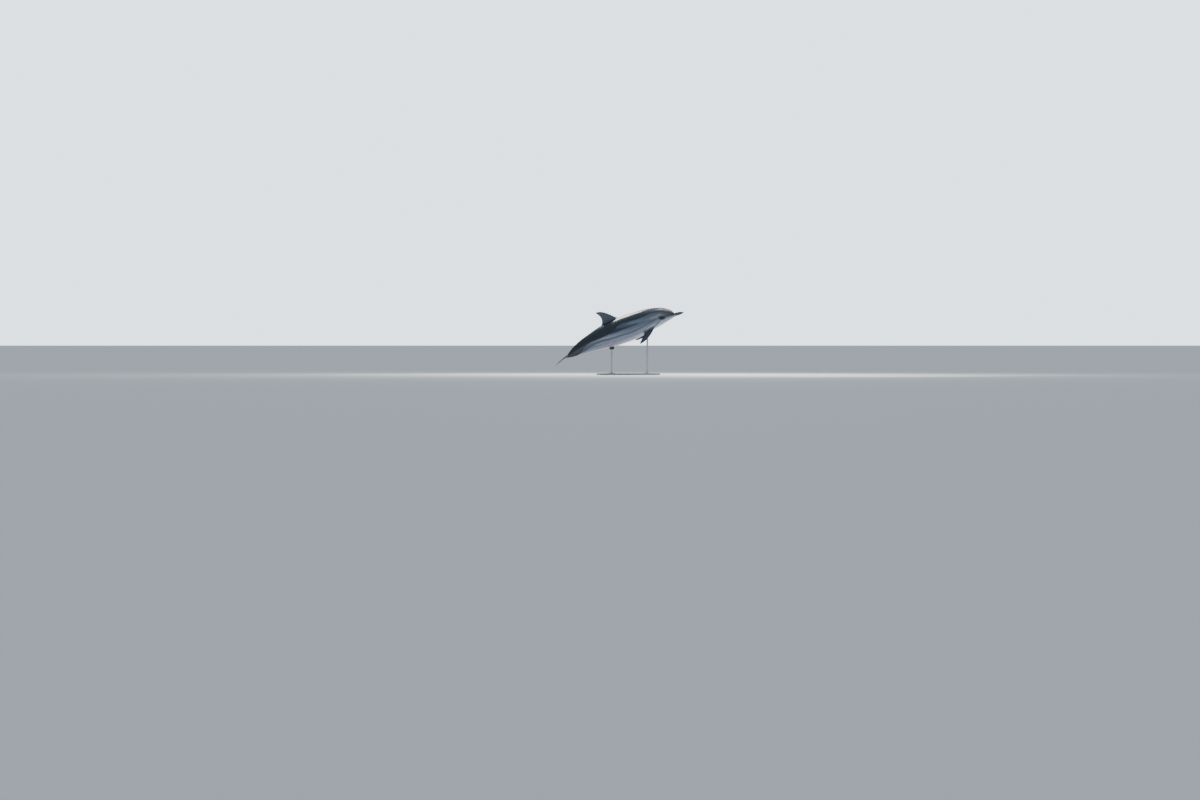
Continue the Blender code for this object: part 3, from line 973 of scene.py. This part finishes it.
bridle = stripe(((0.10, 0.16), (0.17, 0.13), (0.26, 0.08), (0.32, 0.0), (0.36, -0.05)),
                ((0.10, 0.13), (0.20, 0.10), (0.32, 0.12), (0.36, 0.13), (0.39, 0.0)))
beak_top = height_curve(((0.085, -0.99), (0.105, -0.70), (0.125, -0.30), (0.15, -0.08),
                         (0.30, 0.06), (0.34, 0.4)))
beak = (level - beak_top).between(-0.02, 0.03) * metres.between(0.15, 0.26, 1.0, 0.0)
print("cape, spur, bridle, beak and three lines")

# %% [markdown]
# ## Flank, blaze and belly
# Under the dark marks lies a soft ground: blue-grey on the flank and darker towards the cape, paler
# behind the middle, and white with a blush of pink below, where a warm animal's blood shows
# through. The throat, the jaw and the temple in front of the eye have tones of their own. A noise
# drawn out along the body lays faint streaks over it all.

# %% The pale ground
FLANK_LOW = (0.150, 0.185, 0.255)
FLANK_HIGH = (0.066, 0.092, 0.135)
REAR_FLANK = (0.185, 0.225, 0.300)
BLAZE = (0.165, 0.205, 0.265)
BELLY = (0.30, 0.33, 0.40)
BLUSH = (0.40, 0.31, 0.345)
THROAT = (0.19, 0.21, 0.245)
TEMPLE = (0.014, 0.018, 0.026)
JAW = (0.10, 0.115, 0.14)
UPPER_SHADE = (0.042, 0.058, 0.086)
STREAKS = (0.040, 0.056, 0.086)

flank = paint.mix(level.between(0.14, 0.60), FLANK_LOW, FLANK_HIGH)
flank = paint.mix(metres.between(0.85, 1.20) * level.between(0.46, 0.54, 0.75, 0.0), flank, REAR_FLANK)
blaze = stripe(((0.50, 0.22), (0.61, 0.24), (0.77, 0.31), (0.94, 0.38), (1.0, 0.40)),
               ((0.46, 0.0), (0.56, 0.09), (0.78, 0.08), (0.95, 0.05), (1.02, 0.0)), core=0.1, edge=1.7)
blaze = blaze * metres.between(0.78, 1.02, 1.0, 0.0)
flank = paint.mix(blaze * 0.45, flank, BLAZE)
blush = paint.noise(spot, 5.0, 2.0).between(0.35, 0.7)
blush = blush * metres.between(0.70, 1.0) * metres.between(1.25, 1.5, 1.0, 0.0)
under = height_curve(((0.12, -0.35), (0.34, -0.30), (0.5, -0.50), (0.9, -0.62), (1.3, -0.62), (1.6, -0.8)))
colour = paint.mix((level - under).between(-0.10, 0.06, 1.0, 0.0), flank, paint.mix(blush, BELLY, BLUSH))
throat = metres.between(0.30, 0.50, 1.0, 0.0) * level.between(0.30, 0.52, 1.0, 0.0)
colour = paint.mix(throat * 0.75, colour, THROAT)

# %% Shades of the head and the upper flank
cheek = metres.between(0.14, 0.24) * metres.between(0.50, 0.75, 1.0, 0.0) * level.between(0.46, 0.60)
over_spur = metres.between(0.84, 1.0) * level.between(0.54, 0.60)
colour = paint.mix((cheek * 0.55).most(over_spur * 0.8), colour, UPPER_SHADE)
temple = metres.between(0.15, 0.19) * metres.between(0.29, 0.38, 1.0, 0.0) * level.between(0.50, 0.57)
colour = paint.mix(temple * 0.68, colour, TEMPLE)
jaw = metres.between(0.10, 0.14) * metres.between(0.22, 0.34, 1.0, 0.0)
jaw = jaw * level.between(0.20, 0.35) * level.between(0.46, 0.54, 1.0, 0.0)
colour = paint.mix(jaw * 0.55, colour, JAW)
drawn_out = {"X": along * 5.0, "Y": lift * 13.0, "Z": paint.note("lift")}
grain = paint.node("ShaderNodeCombineXYZ", None, drawn_out)
streaks = paint.noise(grain, 1.0, 3.0).between(0.35, 0.75) * metres.between(0.30, 0.65, 0.12, 0.42)
colour = paint.mix(streaks, colour, STREAKS)
print("pale ground of", len(paint.tree.nodes), "nodes so far")

# %% [markdown]
# ## Dark over pale
# The lines are let in softly, strongest near the eye. Then the cape, spur, bridle, beak and fins
# are laid over as one slate, which is a little lighter on the dorsal fin and darkest on the flukes.

# %% Lay the dark marks over the ground
LINES = (0.026, 0.038, 0.060)
SLATE_DARK = (0.008, 0.015, 0.026)
SLATE_LIGHT = (0.012, 0.020, 0.033)
FLIPPER_TONE = (0.048, 0.060, 0.085)
DORSAL_TONE = (0.085, 0.102, 0.138)

lines = eye_line.most(second_line * 0.8).most(flipper_line)
colour = paint.mix(lines * metres.between(0.45, 0.65, 0.92, 0.80), colour, LINES)
dark = cape.most(spur * 0.86).most(limb.between(0.1, 0.75)).most(beak).most(bridle * 0.95)
slate = paint.mix(paint.noise(spot, 14.0, 3.0).between(0.3, 0.75), SLATE_DARK, SLATE_LIGHT)
by_dorsal = metres.between(0.8, 0.95) * metres.between(1.3, 1.6, 1.0, 0.0)
fin_tone = paint.mix(by_dorsal, FLIPPER_TONE, DORSAL_TONE)
tail = metres.between(1.84, 1.90)
slate = paint.mix(limb * (0.7 - tail * 0.6), slate, fin_tone)
colour = paint.mix(dark, colour, slate)
print("pattern of", len(paint.tree.nodes), "nodes so far")

# %% [markdown]
# ## Eye patch, mouth line and blowhole
# Three small marks finish the head: a soft dark patch round each eye, and painted shade in the slit
# between the lips and in the blowhole, a crescent whose horns point forward. The patch is measured
# from the eye's own place, so it stays round there. Patch and temple also shine less than the rest of
# the skin, or the sky's reflection would hide how dark they are; they are kept for that in one mask.

# %% Marks of the head
PATCH_MIDDLE = (-0.010, 0.0, 0.009)      # from the eyeball's middle
PATCH_STRETCH = (0.46, 1.0, 0.95)
PATCH_REACH = (0.020, 0.042)
PATCH_TONE = (0.006, 0.009, 0.015)
# painted shade in the groove between the lips
MOUTH_LINE_SHADE = (0.006, 0.007, 0.010)
# painted shade in the blowhole's crescent slit
BLOWHOLE_SHADE = (0.004, 0.005, 0.007)


def distance_to(point, scale=(1.0, 1.0, 1.0)):
    moved = paint.node("ShaderNodeVectorMath", {"operation": "SUBTRACT"},
                       {0: spot, 1: tuple(float(value) for value in point)})
    sized = paint.node("ShaderNodeVectorMath", {"operation": "MULTIPLY"}, {0: moved, 1: scale})
    return paint.node("ShaderNodeVectorMath", {"operation": "LENGTH"}, {0: sized}, output="Value")


calm = temple * 0.85
for hand in ("left", "right"):
    centre = eye_frames[hand][0] + np.array(PATCH_MIDDLE)
    away = distance_to(centre, PATCH_STRETCH) + wander * 0.012
    patch_mask = away.between(*PATCH_REACH, 1.0, 0.0)
    colour = paint.mix(patch_mask * 0.98, colour, PATCH_TONE)
    calm = calm.most(patch_mask)

# Painted shade: the mouth line's groove is darkened as if shade lay in it.
lip = paint.note("lip")
colour = paint.mix(lip.between(0.45, 0.95) * 0.85, colour, MOUTH_LINE_SHADE)

# Painted shade: the blowhole's crescent groove is darkened as if shade lay in the slit.
from_middle = distance_to(HOLE_MIDDLE, HOLE_STRETCH)
behind = (metres - (BLOWHOLE_AT - 0.006)).between(0.0, 0.004)
crescent = (from_middle - HOLE_RADIUS).size().between(0.0008, 0.0026, 1.0, 0.0) * behind
crescent = crescent * paint.note("lift").between(0.6, 0.8)
colour = paint.mix(crescent * 0.9, colour, BLOWHOLE_SHADE)
print("eye patches", PATCH_REACH, "m, blowhole", HOLE_RADIUS, "m in radius")

# %% [markdown]
# ## Navel, vent and ear
# The underside has painted shade on its middle line: the navel, and behind it the long slit of the
# vent are darkened as if shade lay in them, where the grooves were pressed, from the same places.
# The ear is a pinhole a few centimetres behind the eye, with painted shade as a small dark dot.

# %% Small openings
# painted shade in the navel, the vent and the anus
UNDERSIDE_SLIT_SHADE = (0.070, 0.060, 0.072)
# painted shade of the ear's pinhole
EAR = (0.010, 0.012, 0.016)
EAR_ALONG = 0.415
EAR_HEIGHT = -0.020
side = paint.node("ShaderNodeSeparateXYZ", None, {"Vector": spot}, output="Y")
beneath = paint.note("lift").between(-0.9, -0.7, 1.0, 0.0)


def middle_slit(start, end, width):
    inside = metres.between(start - 0.004, start + 0.006) * metres.between(end - 0.006, end + 0.004, 1.0, 0.0)
    return side.size().between(width * 0.4, width, 1.0, 0.0) * inside * beneath


# Painted shade: the navel, genital slit and anus are darkened as if shade lay in their pressed grooves.
navel, vent, anus = (middle_slit(*groove) for groove in MIDDLE_GROOVES)
colour = paint.mix(navel.most(vent).most(anus) * 0.7, colour, UNDERSIDE_SLIT_SHADE)
# Painted shade: a small dark dot on each side stands for the shade inside the ear's pinhole.
for sign in (1, -1):
    ear = bend(EAR_ALONG, sign * side_at(EAR_ALONG) * 0.995, EAR_HEIGHT)
    colour = paint.mix(distance_to(ear).between(0.0012, 0.0030, 0.85, 0.0), colour, EAR)
print("ears", round(EAR_ALONG - EYE_ALONG, 3), "m behind the eyes")

# %% [markdown]
# ## A wet finish
# Living dolphin skin is smooth and rubbery and here it is wet, so it has a broad soft gloss under a
# sharper clear coat. Fine relief breaks the gloss: a faint orange peel, and long hair-thin
# scratches, paler than the skin, such as the animals give each other. The fins are duller, and the
# flukes most of all, because an edge seen flat on would otherwise mirror the sky.

# %% Scratches
SCRATCH = (0.30, 0.33, 0.37)
slanted = {"X": along * 7.0, "Y": paint.note("lift") * 16.0 + along * 9.0, "Z": side * 3.0}
lengthwise = paint.node("ShaderNodeCombineXYZ", None, slanted)
rake = (paint.noise(lengthwise, 1.0, 1.0) - 0.5).size().between(0.001, 0.006, 1.0, 0.0)
rare = paint.noise(spot, 6.0, 2.0).between(0.58, 0.66)
scratch = rake * rare * limb.between(0.0, 0.3, 1.0, 0.0)
colour = paint.mix(scratch * 0.09, colour, SCRATCH)

# %% Gloss and relief
peel = paint.noise(spot, 420.0, 2.0)
soft_relief = paint.bump(paint.noise(spot, 26.0, 3.0), 0.10, 0.004)
fine_relief = paint.bump(peel * 0.5 - lip.between(0.5, 1.0) * 2.0, 0.30, 0.0006, soft_relief)
roughness = 0.27 + paint.noise(spot, 7.0, 3.0) * 0.12 + scratch * 0.06
roughness = roughness + limb * (0.18 + tail * 0.40) + calm * 0.22
coat = 0.4 - (limb * 0.35).most(calm * 0.4)
paint.finish(Base_Color=colour, Roughness=roughness, Coat_Weight=coat, Coat_Roughness=0.14, IOR=1.36,
             Normal=fine_relief)
skin.data.materials.clear()
skin.data.materials.append(paint.material)
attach(skin, "root")
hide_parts("beak_upper", "lower_jaw", "head", "chest", "trunk", "loin", "tail_stock",
            "dorsal_fin", "flipper_left", "flipper_right", "fluke_left", "fluke_right")
print("skin painted with", len(paint.tree.nodes), "nodes")

# %% [markdown]
# ## The eyes
# The eyeball is a smooth sphere in the solid's place. Its front is turned along the lids, with a
# dark brown iris and a pupil that light closes to a horizontal slot with a flap above. The pattern
# follows the ball's own directions, so they are written on its points before it is painted.

# %% Eyeballs
iris = Shop("dolphin_eye")


def eyeball(hand):
    centre, radius, forward, up, out = eye_frames[hand]
    bm = bmesh.new()
    bmesh.ops.create_uvsphere(bm, u_segments=64, v_segments=40, radius=radius)
    mesh = bpy.data.meshes.new(f"eyeball_{hand}")
    bm.to_mesh(mesh)
    bm.free()
    turned = np.array([vertex.co[:] for vertex in mesh.vertices])
    sign = 1 if np.cross(forward, up) @ out > 0 else -1
    turned = turned[:, :1] * forward * sign + turned[:, 1:2] * up + turned[:, 2:] * out
    mesh.vertices.foreach_set("co", (turned + centre).astype(np.float32).ravel())
    from_axis = turned - (turned @ out)[:, None] * out
    for name, values in (("sideways", np.abs(from_axis @ forward)), ("upright", from_axis @ up)):
        share = (values / radius).astype(np.float32)
        mesh.attributes.new(name, "FLOAT", "POINT").data.foreach_set("value", share)
    mesh.shade_smooth()
    mesh.materials.append(iris.material)
    ball = bpy.data.objects.new(f"eyeball_{hand}", mesh)
    bpy.context.scene.collection.objects.link(ball)
    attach(ball, "root")
    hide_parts(f"eye_{hand}")
    print(ball.name, len(mesh.polygons), "faces")


for hand in ("left", "right"):
    eyeball(hand)

# %% Paint the iris and pupil
IRIS_DARK = (0.010, 0.006, 0.004)
IRIS_LIGHT = (0.026, 0.015, 0.009)
EYE_WHITE = (0.020, 0.014, 0.013)      # round the iris, and dark too
PUPIL = (0.002, 0.002, 0.003)

sideways = iris.note("sideways")
upright = iris.note("upright")
wide = (sideways * sideways + upright * upright).math("SQRT")
slot_across = sideways * 2.6
slot_up = upright * 5.2 + 0.3
slot = (slot_across * slot_across + slot_up * slot_up).math("SQRT")
rays = iris.noise(iris.spot(), 900.0, 2.0)
ring_colour = iris.mix(rays.between(0.3, 0.7), IRIS_DARK, IRIS_LIGHT)
ball_colour = iris.mix(wide.between(0.60, 0.72), ring_colour, EYE_WHITE)
ball_colour = iris.mix(slot.between(0.85, 1.0, 1.0, 0.0), ball_colour, PUPIL)
iris.finish(Base_Color=ball_colour, Roughness=0.10, Coat_Weight=0.25, Coat_Roughness=0.03, IOR=1.22)
print("eyes painted with", len(iris.tree.nodes), "nodes")

# %% [markdown]
# ## The stand
# The display stand is plain: a lacquered base plate, two steel rods with turned feet, and black
# rubber pads under the belly. Each finish is one small material: a fine grain in the lacquer, rings
# left by the lathe in the steel, and a speckle in the rubber. The plate keeps its solid shape and
# only gets its finish.

# %% Finishes of the stand
lacquer = Shop("stand_lacquer")
grain = lacquer.noise(lacquer.spot(), 700.0, 2.0)
shade = lacquer.noise(lacquer.spot(), 6.0, 3.0)
lacquer.finish(Base_Color=lacquer.mix(shade.between(0.3, 0.7), (0.20, 0.21, 0.22), (0.235, 0.245, 0.255)),
               Roughness=0.38 + shade * 0.12, Normal=lacquer.bump(grain, 0.12, 0.0003))

steel = Shop("stand_steel")
turning = steel.node("ShaderNodeMapping", None, {"Vector": steel.spot(), "Scale": (1.0, 1.0, 60.0)})
lathe = steel.noise(turning, 22.0, 3.0)
steel.finish(Base_Color=steel.mix(lathe, (0.33, 0.34, 0.35), (0.46, 0.47, 0.48)), Metallic=1.0,
             Roughness=0.24 + lathe * 0.14, Normal=steel.bump(lathe, 0.08, 0.0003))

rubber = Shop("stand_rubber")
speck = rubber.noise(rubber.spot(), 520.0, 2.0)
rubber.finish(Base_Color=rubber.mix(speck, (0.016, 0.016, 0.017), (0.032, 0.032, 0.033)),
              Roughness=0.62 + speck * 0.2, Normal=rubber.bump(speck, 0.25, 0.0004))

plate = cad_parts["stand_base"].data
plate.materials.clear()
plate.materials.append(lacquer.material)
plate.shade_smooth()
plate.set_sharp_from_angle(angle=math.radians(35))
print("finishes:", ", ".join(shop.material.name for shop in (lacquer, steel, rubber)))

# %% [markdown]
# ## Turned pieces
# Rods, feet and pads are round, so each is a profile spun about an upright axis, as on a lathe. The
# solids have few sides, and here they are turned again with many more. A profile goes from the
# middle of the top, round the outside, to the middle of the underside, and every corner is broken
# by a small chamfer that catches the light. The pads' tops are let up to the skin point by point.

# %% A lathe
SIDES = 96


def turned(name, profile, x, material, slot):
    """A solid of revolution about an upright axis, from (radius, height) pairs, top to bottom."""
    bm = bmesh.new()
    points = [bm.verts.new((radius, 0.0, height)) for radius, height in profile]
    edges = [bm.edges.new(pair) for pair in zip(points, points[1:])]
    bmesh.ops.spin(bm, geom=points + edges, cent=(0, 0, 0), axis=(0, 0, 1), angle=2 * math.pi,
                   steps=SIDES, use_merge=True)
    bmesh.ops.remove_doubles(bm, verts=bm.verts, dist=0.00001)
    bmesh.ops.recalc_face_normals(bm, faces=bm.faces)
    bmesh.ops.translate(bm, verts=bm.verts, vec=(x, 0.0, 0.0))
    mesh = bpy.data.meshes.new(name)
    bm.to_mesh(mesh)
    bm.free()
    mesh.shade_smooth()
    mesh.set_sharp_from_angle(angle=math.radians(30))
    mesh.materials.append(material)
    made = bpy.data.objects.new(name, mesh)
    bpy.context.scene.collection.objects.link(made)
    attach(made, "root")
    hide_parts(f"stand_{name}")
    print(name, len(mesh.polygons), "faces")
    return made


def solid_sizes(name):
    """Middle, radius, underside and top of a round solid."""
    low, high = (np.array(corner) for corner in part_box(f"stand_{name}"))
    return (low[0] + high[0]) / 2, (high[0] - low[0]) / 2, low[2], high[2]


# %% Profiles
ROD_CHAMFER = 0.001
FOOT_CHAMFER = 0.0015
FOOT_EDGE = 0.007            # thickness of the flange
FOOT_STEP = 0.006            # width of the collar's shoulder
HOLLOW_STEPS = 6


def rod_profile(radius, low, top):
    inner = radius - ROD_CHAMFER
    return ((0.0, top), (inner, top), (radius, top - ROD_CHAMFER),
            (radius, low + ROD_CHAMFER), (inner, low), (0.0, low))


def foot_profile(radius, low, top, rod_radius):
    """A collar round the rod, a hollow quarter round, and a flange."""
    collar = rod_radius + FOOT_STEP
    shoulder = low + FOOT_EDGE
    profile = [(0.0, top), (collar - FOOT_CHAMFER, top), (collar, top - FOOT_CHAMFER)]
    for k in range(HOLLOW_STEPS + 1):
        turn = math.pi / 2 * k / HOLLOW_STEPS
        down = (FOOT_STEP - 2 * FOOT_CHAMFER) * (1 - math.sin(turn))
        profile.append((collar + FOOT_STEP * (1 - math.cos(turn)), shoulder + FOOT_CHAMFER + down))
    profile += [(radius - FOOT_CHAMFER, shoulder), (radius, shoulder - 0.0018), (radius, low), (0.0, low)]
    return profile


def pad_profile(radius, low, top):
    """A flat top in rings, so that it can be bent to the belly, and a cone down to the rod."""
    rings = [(radius * k / 6, top) for k in range(6)]
    rim = [(radius - 0.0025, top), (radius - 0.0008, top - 0.0006), (radius, top - 0.0024)]
    cone = [(radius, low + 0.0165), (radius - 0.0008, low + 0.0140), (radius - 0.0035, low + 0.0115),
            (radius * 0.5 + 0.003, low + 0.0010), (radius * 0.5, low), (0.0, low)]
    return rings + rim + cone


# %% Turn the rods, feet and pads
PAD_SPARE = 0.02             # the pad is turned this much too high, and then let down to the belly
PAD_CLEAR = 0.0002
skin_tree = BVHTree.FromObject(skin, bpy.context.evaluated_depsgraph_get())
foot_places = []
for end in ("front", "rear"):
    x, rod_radius, low, top = solid_sizes(f"rod_{end}")
    turned(f"rod_{end}", rod_profile(rod_radius, low, top), x, steel.material, "rod")
    _, foot_radius, low, top = solid_sizes(f"foot_{end}")
    turned(f"foot_{end}", foot_profile(foot_radius, low, top, rod_radius), x, steel.material, "rod")
    foot_places.append((x, float(low) + FOOT_EDGE + 0.0002, foot_radius))
    _, radius, low, top = solid_sizes(f"pad_{end}")
    blank = top + PAD_SPARE
    pad = turned(f"pad_{end}", pad_profile(radius, low, blank), x, rubber.material, "pad")
    for vertex in pad.data.vertices:
        if vertex.co.z > top:
            start = (vertex.co.x, vertex.co.y, low - 0.05)
            belly = skin_tree.ray_cast(start, (0.0, 0.0, 1.0))[0].z
            vertex.co.z += belly - PAD_CLEAR - blank
print("rods and feet at", [round(float(place[0]), 3) for place in foot_places])

# %% [markdown]
# ## Screws, by Geometry Nodes
# Each foot is held by four countersunk screws. One screw is made as a small mesh, and a node tree
# puts a copy on each point of a circle and makes them real. The circle's radius, count and height
# are named inputs, so the same tree serves both feet.

# %% One screw
SCREW_SIDES = 24
SCREW_OUTLINE = ((0.0034, -0.0006), (0.0034, 0.0), (0.0029, 0.0004))      # radius, height
CROSS_ARM = 0.0019
CROSS_WAIST = 0.0007


def circle_of(bm, radii, height):
    """A loop of points, one for each side of the screw, each at its own radius."""
    points = []
    for k, radius in enumerate(radii):
        angle = 2 * math.pi * k / SCREW_SIDES
        points.append(bm.verts.new((radius * math.cos(angle), radius * math.sin(angle), height)))
    return points


def screw_head():
    """A countersunk head with a cross recess."""
    bm = bmesh.new()
    loops = [circle_of(bm, [radius] * SCREW_SIDES, height) for radius, height in SCREW_OUTLINE]
    arms = [CROSS_ARM if k % 6 in (0, 1, 5) else CROSS_WAIST for k in range(SCREW_SIDES)]
    loops.append(circle_of(bm, arms, SCREW_OUTLINE[-1][1]))
    loops.append(circle_of(bm, [arm * 0.8 for arm in arms], -0.0004))
    for first, second in zip(loops, loops[1:]):
        for i in range(SCREW_SIDES):
            j = (i + 1) % SCREW_SIDES
            bm.faces.new((first[i], first[j], second[j], second[i]))
    bm.faces.new(loops[-1])
    bm.faces.new(loops[0][::-1])
    mesh = bpy.data.meshes.new("screw_head")
    bm.to_mesh(mesh)
    bm.free()
    return bpy.data.objects.new("screw_head", mesh)


screw = screw_head()
print("a screw has", len(screw.data.polygons), "faces")


# %% The tree that repeats it
def ring_of_screws(screw, material):
    tree = bpy.data.node_groups.new("ring_of_screws", "GeometryNodeTree")
    for name, kind, value in (("Radius", "NodeSocketFloat", 0.036), ("Count", "NodeSocketInt", 4),
                              ("Centre", "NodeSocketVector", (0, 0, 0))):
        socket = tree.interface.new_socket(name, in_out="INPUT", socket_type=kind)
        socket.default_value = value
    tree.interface.new_socket("Geometry", in_out="OUTPUT", socket_type="NodeSocketGeometry")
    given = tree.nodes.new("NodeGroupInput")
    result = tree.nodes.new("NodeGroupOutput")
    circle = tree.nodes.new("GeometryNodeMeshCircle")
    info = tree.nodes.new("GeometryNodeObjectInfo")
    copies = tree.nodes.new("GeometryNodeInstanceOnPoints")
    real = tree.nodes.new("GeometryNodeRealizeInstances")
    move = tree.nodes.new("GeometryNodeTransform")
    coat = tree.nodes.new("GeometryNodeSetMaterial")
    info.inputs["Object"].default_value = screw
    coat.inputs["Material"].default_value = material
    for start, end in ((given.outputs["Radius"], circle.inputs["Radius"]),
                       (given.outputs["Count"], circle.inputs["Vertices"]),
                       (circle.outputs["Mesh"], copies.inputs["Points"]),
                       (info.outputs["Geometry"], copies.inputs["Instance"]),
                       (copies.outputs["Instances"], move.inputs["Geometry"]),
                       (given.outputs["Centre"], move.inputs["Translation"]),
                       (move.outputs["Geometry"], real.inputs["Geometry"]),
                       (real.outputs["Geometry"], coat.inputs["Geometry"]),
                       (coat.outputs["Geometry"], result.inputs["Geometry"])):
        tree.links.new(start, end)
    return tree


tree = ring_of_screws(screw, steel.material)
names = {item.name: item.identifier for item in tree.interface.items_tree if item.in_out == "INPUT"}
SCREWS_OUT = 0.76            # of the foot's radius
for end, (x, height, edge) in zip(("front", "rear"), foot_places):
    holder = bpy.data.objects.new(f"screws_{end}", bpy.data.meshes.new(f"screws_{end}"))
    bpy.context.scene.collection.objects.link(holder)
    repeat = holder.modifiers.new("screws", "NODES")
    repeat.node_group = tree
    repeat[names["Radius"]] = edge * SCREWS_OUT
    repeat[names["Centre"]] = (x, 0.0, float(height))
    evaluated = holder.evaluated_get(bpy.context.evaluated_depsgraph_get())
    holder_mesh = bpy.data.meshes.new_from_object(evaluated)
    holder.modifiers.clear()
    holder.data = holder_mesh
    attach(holder, "root")
    print(holder.name, len(holder.data.polygons), "faces")
bpy.data.objects.remove(screw)

# %% [markdown]
# ## Floor and light
# The floor is plain and pale, and so wide that its far edge is a horizon. A large soft lamp high
# behind the back draws the bright line along it that a leaping dolphin shows against the sky, and a
# wide, weaker one fills the side that is seen. The sky is seen brighter than it lights, so that the
# dark skin stays dark before a pale sky.

# %% Floor and world
FLOOR_SIZE = 9000.0
SKY_COLOUR = (0.80, 0.90, 1.0, 1.0)
SKY_AS_LIGHT = 0.55
SKY_AS_SEEN = 2.8

bpy.ops.mesh.primitive_plane_add(size=FLOOR_SIZE)
floor = bpy.context.active_object
floor.name = "floor"
ground = Shop("pale_floor")
ground.finish(Base_Color=(0.90, 0.91, 0.92), Roughness=0.85)
floor.data.materials.append(ground.material)

world = bpy.data.worlds.new("studio")
bpy.context.scene.world = world
world.use_nodes = True
sky = world.node_tree.nodes["Background"]
sky.inputs["Color"].default_value = SKY_COLOUR
seen = world.node_tree.nodes.new("ShaderNodeLightPath").outputs["Is Camera Ray"]
share = world.node_tree.nodes.new("ShaderNodeMapRange")
share.inputs["To Min"].default_value = SKY_AS_LIGHT
share.inputs["To Max"].default_value = SKY_AS_SEEN
world.node_tree.links.new(seen, share.inputs["Value"])
world.node_tree.links.new(share.outputs["Result"], sky.inputs["Strength"])
print("floor of", FLOOR_SIZE, "m")


# %% Lamps
def soft_lamp(name, place, aim, size, power, colour):
    lamp = bpy.data.lights.new(name, "AREA")
    lamp.shape = "DISK"
    lamp.size = size
    lamp.energy = power
    lamp.color = colour
    made = bpy.data.objects.new(name, lamp)
    made.location = place
    way = np.array(aim, float) - np.array(place, float)
    flat = math.hypot(way[0], way[1])
    made.rotation_euler = (math.atan2(flat, -way[2]), 0.0, math.atan2(-way[0], way[1]))
    made.visible_camera = False
    bpy.context.scene.collection.objects.link(made)
    print(name, power, "W")


soft_lamp("back_light", (2.1, 0.9, 4.3), (0.2, 0.0, 0.7), 2.2, 270, (1.0, 0.97, 0.95))
soft_lamp("rim_light", (-0.6, 2.7, 4.0), (-0.3, 0.0, 0.6), 1.4, 130, (1.0, 0.98, 0.96))
soft_lamp("side_fill", (3.6, -4.2, 2.8), (0.0, 0.0, 0.6), 3.0, 85, (0.93, 0.96, 1.0))

# %% [markdown]
# ## Camera
# A leaping dolphin is seen from a boat, at sea level and far off, and a long lens brings it near.
# So the camera stands low and 75 m away, which makes the view almost flat. Its height puts the
# floor's far edge across the tail. Where the model stands in the frame is given in metres, measured
# at the model, and the camera is turned to suit.

# %% Camera
AZIMUTH = math.radians(-8.0)
FRAME_WIDTH = 18.0                  # metres across the frame, at the model
EYE_LEVEL = 0.45
LENS = 150.0
SENSOR = 36.0
MODEL_MIDDLE = -0.1395              # middle of the model's length
MODEL_TO_RIGHT = 0.285              # the model stands this far right of the frame's middle
HORIZON_UP = 0.825                  # and eye level this far above it
distance = LENS * FRAME_WIDTH / SENSOR
right = np.array((math.cos(AZIMUTH), math.sin(AZIMUTH), 0.0))
toward = np.array((math.sin(AZIMUTH), -math.cos(AZIMUTH), 0.0))
target = np.array((MODEL_MIDDLE, 0.0, EYE_LEVEL)) - right * MODEL_TO_RIGHT
camera = bpy.data.cameras.new("camera")
camera.lens = LENS
camera.sensor_width = SENSOR
camera.clip_end = 20000.0
eye = bpy.data.objects.new("camera", camera)
eye.location = target + toward * distance
eye.rotation_euler = (math.pi / 2 - math.atan(HORIZON_UP / distance), 0.0, AZIMUTH)
bpy.context.scene.collection.objects.link(eye)
bpy.context.scene.camera = eye
print(f"camera {distance:.0f} m away")
